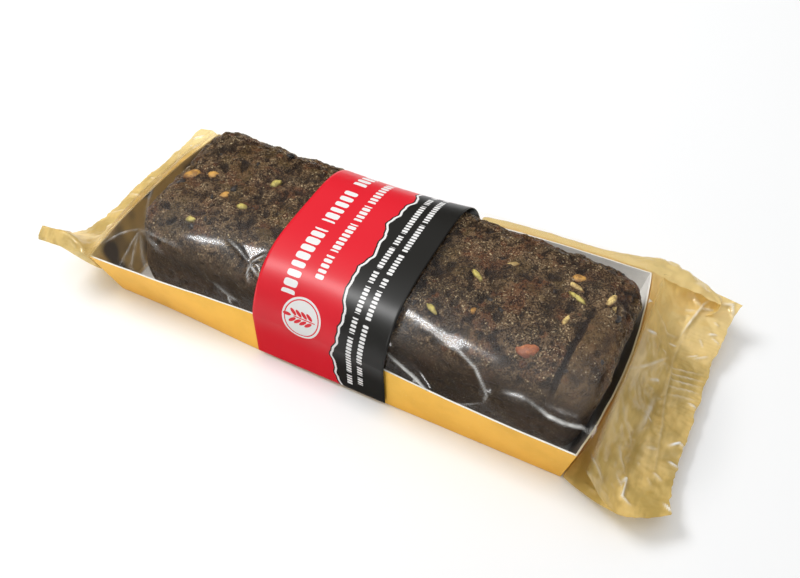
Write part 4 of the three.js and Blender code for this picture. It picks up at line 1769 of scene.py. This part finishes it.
@dataclass
class FilmBag:
    """Film bag: a clear web over the loaf, gold webs at both ends and slack gold film at the back."""

    tray: CardTray
    crest: float = 40.4
    rim_gap: float = 0.3
    rim_rise: float = 0.8
    wall_gap: float = 0.6
    arch_power: float = 4.0
    band_root: float = 0.744
    band_far_root: float = 0.9
    taut_root: float = 1.0
    far_root: float = 0.9
    band_middle: float = BAND_MIDDLE
    taut_span: Span = (BAND_HALF, 48.0)
    free_span: Span = (BAND_HALF - 0.5, BAND_HALF + 1.0)
    rim_span: Span = (0.0, 0.1)
    body_slack: Layers = ((0.2, 24.0), (0.06, 9.0))
    left_slope: Slope = Slope(start=-70.0, power=2.2)
    right_slope: Slope = Slope(start=86.0, power=7.0)
    left_fin: Fin = Fin(
        edge=-114.5,
        skew=0.0,
        height=9.5,
        foot=12.0,
        near=FinCorner(half_width=42.4, reach=4.8, curl=14.0, hem=4.5),
        far=FinCorner(half_width=47.0, reach=-5.5, curl=5.0),
    )
    right_fin: Fin = Fin(
        edge=124.8,
        skew=0.8,
        height=5.0,
        foot=1.0,
        near=FinCorner(half_width=40.5, reach=2.2, curl=3.0, bulge=8.5),
        far=FinCorner(half_width=50.0, reach=3.0, curl=8.0, hump=1.0),
    )
    edge_waves: tuple[Triple, ...] = ((0.7, 9.0, 0.0), (0.4, 25.0, 3.0))
    hem_start: float = 0.92
    hem_span: Span = (0.0, 0.4)
    curl_power: float = 5.0
    flare_power: float = 4.0
    fall_power: float = 1.3
    seal_start: float = 0.52
    seal_run: float = 0.08
    seal_rise: float = 3.0
    seal_gap: float = 0.14
    fold_depth: float = 0.9
    fold_count: float = 4.0
    end_folds: tuple[Fold, ...] = END_FOLDS + LOOSE_FOLDS
    end_slack: Layers = ((1.1, 17.0), (0.45, 7.0))
    crumple: float = 0.6
    crumple_size: float = 5.0
    crumple_place: Triple = (0.0, 5.0, 9.0)
    crinkle: float = 0.25
    crinkle_size: float = 2.4
    crinkle_place: Triple = (4.0, 0.0, 2.0)
    body_share: float = 0.7
    end_span: Span = (0.0, 0.2)
    lower_drop: float = 0.4
    down_share: float = 0.22
    out_share: float = 0.58
    out_run: float = 0.06
    out_span: Span = (0.25, 0.5)
    out_power: float = 1.5
    crimp_pitch: float = 1.5
    crimp_depth: float = 0.07
    crimp_waver: float = 1.5
    crimp_waver_size: float = 6.0
    crimp_patch_size: float = 11.0
    crimp_patch_place: Triple = (3.0, 8.0, 0.0)
    crimp_patch_span: Span = (-0.3, 0.5)
    strip_span: Span = (22.0, 31.0)
    strip_width: float = 4.6
    strip_depth: float = 3.0
    strip_crease: float = 0.2
    puff_left: float = 28.3
    puff_start: float = 74.0
    puff_widest: float = 104.0
    puff_right: float = 121.5
    puff_width: float = 14.6
    puff_depth: float = 11.0
    puff_fall: float = 4.0
    puff_fall_start: float = 87.0
    puff_foot: float = 1.0
    puff_slack: Layers = ((0.9, 9.0),)
    puff_crumple_size: float = 5.5
    puff_crinkle: float = 0.7
    puff_crinkle_size: float = 3.2
    upper_grid: tuple[int, int] = (468, 200)
    lower_grid: tuple[int, int] = (90, 260)
    puff_grid: tuple[int, int] = (120, 36)
    girth_steps: int = 200
    girths: list[float] = field(default_factory=list)

    def __post_init__(self) -> None:
        """Measures the way round the arch from its crest, step by step of v from -1 to 1."""
        half = self.tray.wall_y(0.0, self.tray.height, -1.0)
        spots = []
        for step in range(self.girth_steps + 1):
            across = math.sin((2.0 * step / self.girth_steps - 1.0) * math.pi / 2)
            height = mix(self.rim(), self.crest, self.arch(self.band_middle, across))
            spots.append(Vector((across * half, height)))
        self.girths = [0.0]
        for before, after in zip(spots, spots[1:]):
            self.girths.append(self.girths[-1] + (after - before).length)
        middle = self.girths[self.girth_steps // 2]
        self.girths = [length - middle for length in self.girths]

    def girth(self, v: float) -> float:
        """The way round the arch from its crest.

        Args:
            v: Across the arch, from -1 to 1.

        Returns:
            The way in millimetres, less than 0 on the near side.
        """
        step = clamp((v + 1.0) / 2.0, 0.0, 1.0) * self.girth_steps
        before = min(int(step), self.girth_steps - 1)
        return mix(self.girths[before], self.girths[before + 1], step - before)

    def fin(self, side: Side) -> Fin:
        """The fin at an end."""
        return self.left_fin if side is Side.LEFT else self.right_fin

    def rim(self) -> float:
        """The height at which the film leaves the tray's rim."""
        return self.tray.height + self.rim_gap

    def spine(self, x: float, rim_x: float) -> float:
        """Height of the bag's middle line: level over the loaf, then falling to the end walls.

        Args:
            x: The place along the pack.
            rim_x: The place of the end wall's rim on that side.

        Returns:
            The height.
        """
        slope = self.left_slope if x < 0 else self.right_slope
        run = clamp((x - slope.start) / (rim_x - slope.start), 0.0, 1.0)
        return mix(self.crest, self.rim() + self.rim_rise, run**slope.power)

    def arch(self, x: float, share: float) -> float:
        """The arch's height, which is fullest under the band.

        Args:
            x: The place along the pack.
            share: The place across it, as a share of half its width from -1 to 1.

        Returns:
            A share of the height in the middle.
        """
        beside = smoothstep(abs(x - self.band_middle), *self.taut_span)
        near = mix(self.band_root, self.taut_root, beside)
        far = mix(self.band_far_root, self.far_root, beside)
        return (1.0 - min(1.0, abs(share)) ** self.arch_power) ** (near if share < 0 else far)

    def body(self, along: float, v: float) -> Vector:
        """A point of the clear web over the tray.

        Args:
            along: From the left rim at -1 to the right one at 1.
            v: Across, from -1 to 1.

        Returns:
            The point.
        """
        across = math.sin(v * math.pi / 2)
        rim_y = across * self.tray.width / 2
        left = -self.tray.wall_x(-1.0, rim_y, self.rim()) - self.wall_gap
        right = self.tray.wall_x(1.0, rim_y, self.rim()) + self.wall_gap
        x = mix(left, right, (along + 1.0) / 2.0)
        top = self.spine(x, left if x < 0 else right)
        y = across * (self.tray.wall_y(x, self.tray.height, v) + self.rim_gap)
        return Vector((x, y, mix(self.rim(), top, self.arch(x, across))))

    def fin_edge(self, fin: Fin, v: float) -> Vector:
        """A point of a fin's wavy outer edge, with curled corners.

        Args:
            fin: The fin.
            v: Across, from -1 to 1.

        Returns:
            The point.
        """
        corner = fin.corner(v)
        start = self.hem_start if corner.hem else 1.0
        turned = min(1.0, abs(v) / start) ** self.curl_power
        wave = sum(
            swing * noise.noise(Vector((v * count, fin.edge, level)))
            for swing, count, level in self.edge_waves
        )
        x = fin.edge + fin.skew * v + math.copysign(1.0, fin.edge) * (corner.reach * turned + wave)
        return Vector((x, v * corner.half_width, fin.height + corner.curl * turned))

    def end_upper(self, side: Side, v: float, share: float) -> Vector:
        """A point of the upper web beyond an end wall: it slopes to the seal, then runs flat.

        Args:
            side: Which end.
            v: Across, from -1 to 1.
            share: From the wall at 0 to the fin's edge at 1.

        Returns:
            The point.
        """
        fin = self.fin(side)
        corner = fin.corner(v)
        edge = self.fin_edge(fin, v)
        start = self.body(float(side.value), v)
        fall = 1.0 - share / self.seal_start if share < self.seal_start else 0.0
        middle = math.sin(share * math.pi)
        hump = corner.hump * abs(v) ** self.curl_power * middle
        fold = self.fold_depth * math.cos(v * self.fold_count * math.pi) * middle**2 * (1.0 - v * v)
        seal = edge.z + self.seal_rise * (1.0 - share) + hump
        flare = 1.0 - (1.0 - share) ** self.flare_power
        turned_down = max(0.0, (abs(v) - self.hem_start) / (1.0 - self.hem_start))
        hem = corner.hem * turned_down * smoothstep(share, *self.hem_span)
        y = mix(start.y, edge.y, flare) + v * corner.bulge * middle
        z = mix(seal, start.z, fall**self.fall_power) - fold - hem
        return Vector((mix(start.x, edge.x, share), y, z))

    def upper(self, u: float, v: float) -> Vector:
        """A point of the upper web.

        Args:
            u: From the left fin's edge at -1 to the right one's at 1.
            v: Across, from -1 to 1.

        Returns:
            The point.
        """
        if abs(u) <= self.body_share:
            return self.body(u / self.body_share, v)
        return self.end_upper(Side.LEFT if u < 0 else Side.RIGHT, v, self.beyond(u))

    def beyond(self, u: float) -> float:
        """The share of the way from an end wall to the fin's edge, less than 0 over the tray."""
        return (abs(u) - self.body_share) / (1.0 - self.body_share)

    def lower(self, side: Side, v: float, share: float) -> Vector:
        """A point of the lower web: down the end wall, out to the seal, then under the upper web.

        Args:
            side: Which end.
            v: Across, from -1 to 1.
            share: From the rim at 0 to the fin's edge at 1.

        Returns:
            The point.
        """
        fin = self.fin(side)
        under = Vector((0.0, 0.0, self.seal_gap))
        if share > self.out_share:
            sealed = (share - self.out_share) / (1.0 - self.out_share)
            return self.end_upper(side, v, mix(self.seal_start, 1.0, sealed)) - under
        across = math.sin(v * math.pi / 2)
        z = mix(self.tray.height - self.lower_drop, fin.foot, min(1.0, share / self.down_share))
        x = side.value * (self.tray.wall_x(side.value, across * self.tray.width / 2, z) + self.wall_gap)
        wall = Vector((x, across * self.tray.wall_y(side.value * self.tray.length / 2, z, v), z))
        out = clamp((share - self.down_share) / (self.out_share - self.down_share), 0.0, 1.0)
        seal = self.end_upper(side, v, self.seal_start) - under
        flare = 1.0 - (1.0 - out) ** self.flare_power if v > 0 else out
        height = mix(wall.z, seal.z, out**self.out_power)
        return Vector((mix(wall.x, seal.x, out), mix(wall.y, seal.y, flare), height))

    def puff(self, u: float, v: float) -> Vector:
        """A point of the slack film behind the back wall.

        Args:
            u: Along the pack, from -1 to 1.
            v: From the rim at -1 round to the wall again at 1.

        Returns:
            The point.
        """
        x = mix(self.puff_left, self.puff_right, (u + 1.0) / 2.0)
        grown = smoothstep(x, self.puff_start, self.puff_widest)
        end = max(0.0, x - self.puff_widest) / (self.puff_right - self.puff_widest)
        size = smoothstep(x, *self.strip_span) * math.sqrt(max(0.0, 1.0 - end * end))
        turn = (v + 1.0) / 2.0 * math.pi
        top = self.rim() - self.puff_fall * smoothstep(x, self.puff_fall_start, self.puff_right)
        depth = mix(self.strip_depth, self.puff_depth, grown) * size
        z = max(self.puff_foot, top - depth * (1.0 - math.cos(turn)) / 2.0)
        width = mix(self.strip_width, self.puff_width, grown) * size
        y = self.tray.wall_y(x, z, 1.0) + self.wall_gap + width * math.sin(turn)
        return Vector((x, y, z))

    def ridges(self, point: Vector, sealed: float) -> float:
        """The crimped seal's fine ridges, which show in patches.

        Args:
            point: A point of a web.
            sealed: 1 on the seal and 0 elsewhere.

        Returns:
            How far the point moves.
        """
        waver = self.crimp_waver * noise.noise(point / self.crimp_waver_size)
        wave = math.sin(point.y / self.crimp_pitch * math.tau + waver)
        patch = noise.noise(point / self.crimp_patch_size + Vector(self.crimp_patch_place))
        return self.crimp_depth * wave * sealed * smoothstep(patch, *self.crimp_patch_span)

    def end_lift(self, point: Vector) -> float:
        """The lift of every fold and the film's slackness at an end.

        Args:
            point: A point of a web.

        Returns:
            How far the point moves.
        """
        lift = sum(fold.lift(point.x, point.y) for fold in self.end_folds)
        slack = layered(point, self.end_slack)
        crumple = abs(noise.noise(point / self.crumple_size + Vector(self.crumple_place)))
        crinkle = abs(noise.noise(point / self.crinkle_size + Vector(self.crinkle_place)))
        return lift + slack + self.crumple * crumple - self.crinkle * crinkle

    def upper_relief(self, u: float, v: float, point: Vector) -> float:
        """How far the upper web's folds move a point.

        Args:
            u: From the left fin's edge at -1 to the right one's at 1.
            v: Across, from -1 to 1.
            point: The point.

        Returns:
            The distance.
        """
        beyond = self.beyond(u)
        ends = smoothstep(beyond, *self.end_span)
        lift = 0.0
        if ends < 1.0:
            girth = self.girth(v)
            slack = layered(point, self.body_slack)
            slack += sum(swell.lift(point.x, girth) for swell in BODY_SWELLS)
            slack += sum(fold.lift(point.x, girth) for fold in BODY_FOLDS)
            free = smoothstep(abs(point.x - self.band_middle), *self.free_span)
            lift = slack * free * smoothstep(1.0 - abs(v), *self.rim_span) * (1.0 - ends)
        if beyond > 0.0:
            sealed = smoothstep(beyond, self.seal_start, self.seal_start + self.seal_run)
            lift += self.end_lift(point) * ends + self.ridges(point, sealed)
        return lift

    def lower_relief(self, share: float, point: Vector) -> float:
        """How far the lower web's folds move a point.

        Args:
            share: From the rim at 0 to the fin's edge at 1.
            point: The point.

        Returns:
            The distance.
        """
        sealed = smoothstep(share, self.out_share, self.out_share + self.out_run)
        out = smoothstep(share, *self.out_span)
        return self.end_lift(point) * out + self.ridges(point, sealed)

    def upper_glint(self, u: float, v: float, point: Vector) -> float:
        """How strongly the upper web's painted glints show at a point.

        Args:
            u: From the left fin's edge at -1 to the right one's at 1.
            v: Across, from -1 to 1.
            point: The point.

        Returns:
            A share from 0 to 1.
        """
        on_end = abs(u) > self.body_share
        folds = self.end_folds if on_end else BODY_FOLDS
        across = point.y if on_end else self.girth(v)
        return max(fold.mark(point.x, across) for fold in folds)

    def puff_relief(self, u: float, v: float, point: Vector) -> float:
        """How far the slack film's creases move a point.

        Args:
            u: Not used.
            v: Not used.
            point: The point.

        Returns:
            The distance.
        """
        shown = mix(self.strip_crease, 1.0, smoothstep(point.x, self.puff_start, self.puff_widest))
        crumple = abs(noise.noise(point / self.puff_crumple_size))
        crinkle = abs(noise.noise(point / self.puff_crinkle_size))
        return shown * (layered(point, self.puff_slack) + (crumple - self.puff_crinkle * crinkle))

    def lower_web(self, side: Side) -> bmesh.types.BMesh:
        """The lower web at an end.

        Args:
            side: Which end.

        Returns:
            Its shape.
        """

        def share(u: float) -> float:
            """The share of the way from the rim to the fin's edge."""
            return (u * side.value + 1.0) / 2.0

        return sheet_shape(
            *self.lower_grid,
            lambda u, v: self.lower(side, v, share(u)),
            lambda u, v, point: self.lower_relief(share(u), point),
        )

    def build(self) -> list[bpy.types.Object]:
        """Builds and dresses the webs.

        Returns:
            The pieces.
        """
        clear = FilmFinish("clear_film", gold_all_over=False).make()
        gold = FilmFinish("gold_film", gold_all_over=True).make()
        upper = sheet_shape(*self.upper_grid, self.upper, self.upper_relief, painted_glint=self.upper_glint)
        pieces = [finished("clear_web", upper, [clear])]
        for side in Side:
            pieces.append(finished(f"gold_web_{side.name.lower()}", self.lower_web(side), [gold]))
        back = sheet_shape(*self.puff_grid, self.puff, self.puff_relief)
        pieces.append(finished("gold_web_back", back, [gold]))
        return [settle(piece, Slot.FILM, Node.BAG) for piece in pieces]


@dataclass
class PaperBand:
    """Printed paper band over the film and down both long walls."""

    tray: CardTray
    bag: FilmBag
    left: float = BAND_LEFT
    right: float = BAND_RIGHT
    foot: float = 1.5
    lift: float = 0.75
    paper: float = 0.18
    waves: Layers = ((0.12, 14.0),)
    columns: int = 52
    arch_rows: int = 150
    wall_rows: int = 24

    def rows(self) -> int:
        """The number of rows from foot to foot."""
        return self.arch_rows + 2 * self.wall_rows

    def point(self, u: float, v: float) -> Vector:
        """A point of the band.

        Args:
            u: Along X, from -1 to 1.
            v: From the front foot at -1 to the back one at 1.

        Returns:
            The point.
        """
        x = mix(self.left, self.right, (u + 1.0) / 2.0)
        arch_share = self.arch_rows / self.rows()
        across = math.sin(clamp(v / arch_share, -1.0, 1.0) * math.pi / 2)
        drop = max(0.0, (abs(v) - arch_share) / (1.0 - arch_share))
        wall_z = mix(self.bag.rim(), self.foot, drop)
        y = across * (self.tray.wall_y(x, wall_z, v) + self.lift)
        crest = mix(self.bag.rim(), self.bag.crest + self.lift, self.bag.arch(x, across))
        return Vector((x, y, wall_z if drop > 0.0 else crest))

    def arc_lengths(self) -> list[float]:
        """The way over the band at the middle of its width.

        Returns:
            The way from the front foot to each row.
        """
        rows = self.rows()
        points = [self.point(0.0, 2.0 * row / rows - 1.0) for row in range(rows + 1)]
        lengths = [0.0]
        for before, after in zip(points, points[1:]):
            lengths.append(lengths[-1] + (after - before).length)
        return lengths

    def build(self) -> list[bpy.types.Object]:
        """Builds and dresses the band.

        Returns:
            Its one piece.
        """
        lengths = self.arc_lengths()

        def printed(u: float, v: float) -> Vector:
            """A point's place on the print, in millimetres from its left front corner."""
            row = round((v + 1.0) / 2.0 * self.rows())
            return Vector(((u + 1.0) / 2.0 * (self.right - self.left), lengths[row], 0.0))

        shape = sheet_shape(
            self.columns,
            self.rows(),
            self.point,
            lambda u, v, point: layered(point, self.waves),
            printed,
        )
        piece = finished("band_paper", shape, [PrintFinish().make()])
        paper = piece.modifiers.new("paper", "SOLIDIFY")
        paper.thickness = self.paper * MM
        paper.offset = 1.0
        return [settle(piece, Slot.PRINT, Node.BAND)]


@dataclass(frozen=True)
class Lamp:
    """An area light, in metres and watts, which is only seen in gloss or else only lights what is matt."""

    name: str
    place: Triple
    size: Pair
    power: float
    only_gloss: bool


@dataclass
class Studio:
    """Pale floor, soft lights and the camera."""

    camera_place: Triple = (0.10608, -0.18344, 0.23912)
    camera_turn: Triple = (42.426, 0.0, 26.676)
    lens: float = 37.14
    sensor: float = 36.0
    clip_start: float = 0.01
    floor_size: float = 4.0
    floor_drop: float = 0.1
    floor_shade: Colour = (0.94, 0.94, 0.94)
    floor_light: Colour = (0.96, 0.96, 0.96)
    floor_patch: float = 400.0
    sky: Colour = (0.985, 0.995, 1.0)
    horizon_light: float = 0.15
    zenith_light: float = 1.22
    rise_span: Span = (0.35, 0.95)
    back_dimming: float = 0.5
    back_span: Span = (0.0, 0.6)
    aim: Triple = (0.0, 0.0, 0.02)
    lamps: tuple[Lamp, ...] = (
        Lamp("window_glare", (-0.345, -0.44, 0.85), (0.29, 0.125), 4.2, only_gloss=True),
        Lamp("lamp_glare", (0.07, -0.756, 0.366), (0.10, 0.04), 0.7, only_gloss=True),
        Lamp("window_light", (-0.75, 0.03, 0.87), (0.5, 0.4), 7.6, only_gloss=False),
        Lamp("back_light", (0.15, 0.95, 0.75), (1.0, 0.6), 1.0, only_gloss=False),
    )

    def set_camera(self) -> None:
        """Sets the camera as it stood."""
        data = bpy.data.cameras.new("camera")
        data.lens = self.lens
        data.sensor_width = self.sensor
        data.clip_start = self.clip_start
        view = bpy.data.objects.new("camera", data)
        view.location = self.camera_place
        view.rotation_euler = [math.radians(angle) for angle in self.camera_turn]
        bpy.context.scene.collection.objects.link(view)
        bpy.context.scene.camera = view

    def lay_floor(self) -> None:
        """Lays the floor."""
        shape = bmesh.new()
        bmesh.ops.create_grid(shape, x_segments=4, y_segments=4, size=self.floor_size / MM)
        bmesh.ops.translate(shape, verts=shape.verts, vec=(0.0, 0.0, -self.floor_drop))
        sheet = NodeSheet(bpy.data.materials.new("pale_floor"))
        patch = sheet.noise(sheet.place(), self.floor_patch, detail=1.0)
        colour = sheet.blend(patch, self.floor_shade, self.floor_light)
        matt = sheet.shader("ShaderNodeBsdfDiffuse", {"Color": colour})
        finished("floor", shape, [sheet.finish(matt)])

    def set_sky(self) -> None:
        """Sets a room that is bright overhead, dim at the horizon and dimmer behind the pack."""
        world = bpy.data.worlds.new("pale_room")
        sheet = NodeSheet(world)
        way = sheet.node("ShaderNodeTexCoord").outputs["Object"]
        _, y, z = sheet.parts(way)
        light = z.smooth(*self.rise_span) * (self.zenith_light - self.horizon_light) + self.horizon_light
        light = light * (1.0 - y.smooth(*self.back_span) * self.back_dimming)
        sheet.finish(sheet.shader("ShaderNodeBackground", {"Color": self.sky, "Strength": light}))
        bpy.context.scene.world = world

    def hang(self, lamp: Lamp) -> None:
        """Hangs a light that faces the pack.

        Args:
            lamp: The light.
        """
        light = bpy.data.lights.new(lamp.name, "AREA")
        light.shape = "RECTANGLE"
        light.size, light.size_y = lamp.size
        light.energy = lamp.power
        hung = bpy.data.objects.new(lamp.name, light)
        hung.location = lamp.place
        away = Vector(lamp.place) - Vector(self.aim)
        hung.rotation_euler = away.to_track_quat("Z", "Y").to_euler()
        hung.visible_diffuse = not lamp.only_gloss
        hung.visible_glossy = lamp.only_gloss
        bpy.context.scene.collection.objects.link(hung)

    def build(self) -> None:
        """Sets up the whole studio."""
        self.set_camera()
        self.lay_floor()
        self.set_sky()
        for lamp in self.lamps:
            self.hang(lamp)
        bpy.context.scene.view_settings.view_transform = "Standard"


def main() -> None:
    """Builds the studio and the pack, and reports each piece."""
    logging.basicConfig(level=logging.INFO)
    tray = CardTray()
    bag = FilmBag(tray)
    Studio().build()
    for assembly in (tray, FruitLoaf(), bag, PaperBand(tray, bag)):
        for piece in assembly.build():
            LOG.info("%s: %d faces", piece.name, len(piece.data.polygons))


if __name__ == "__main__":
    main()
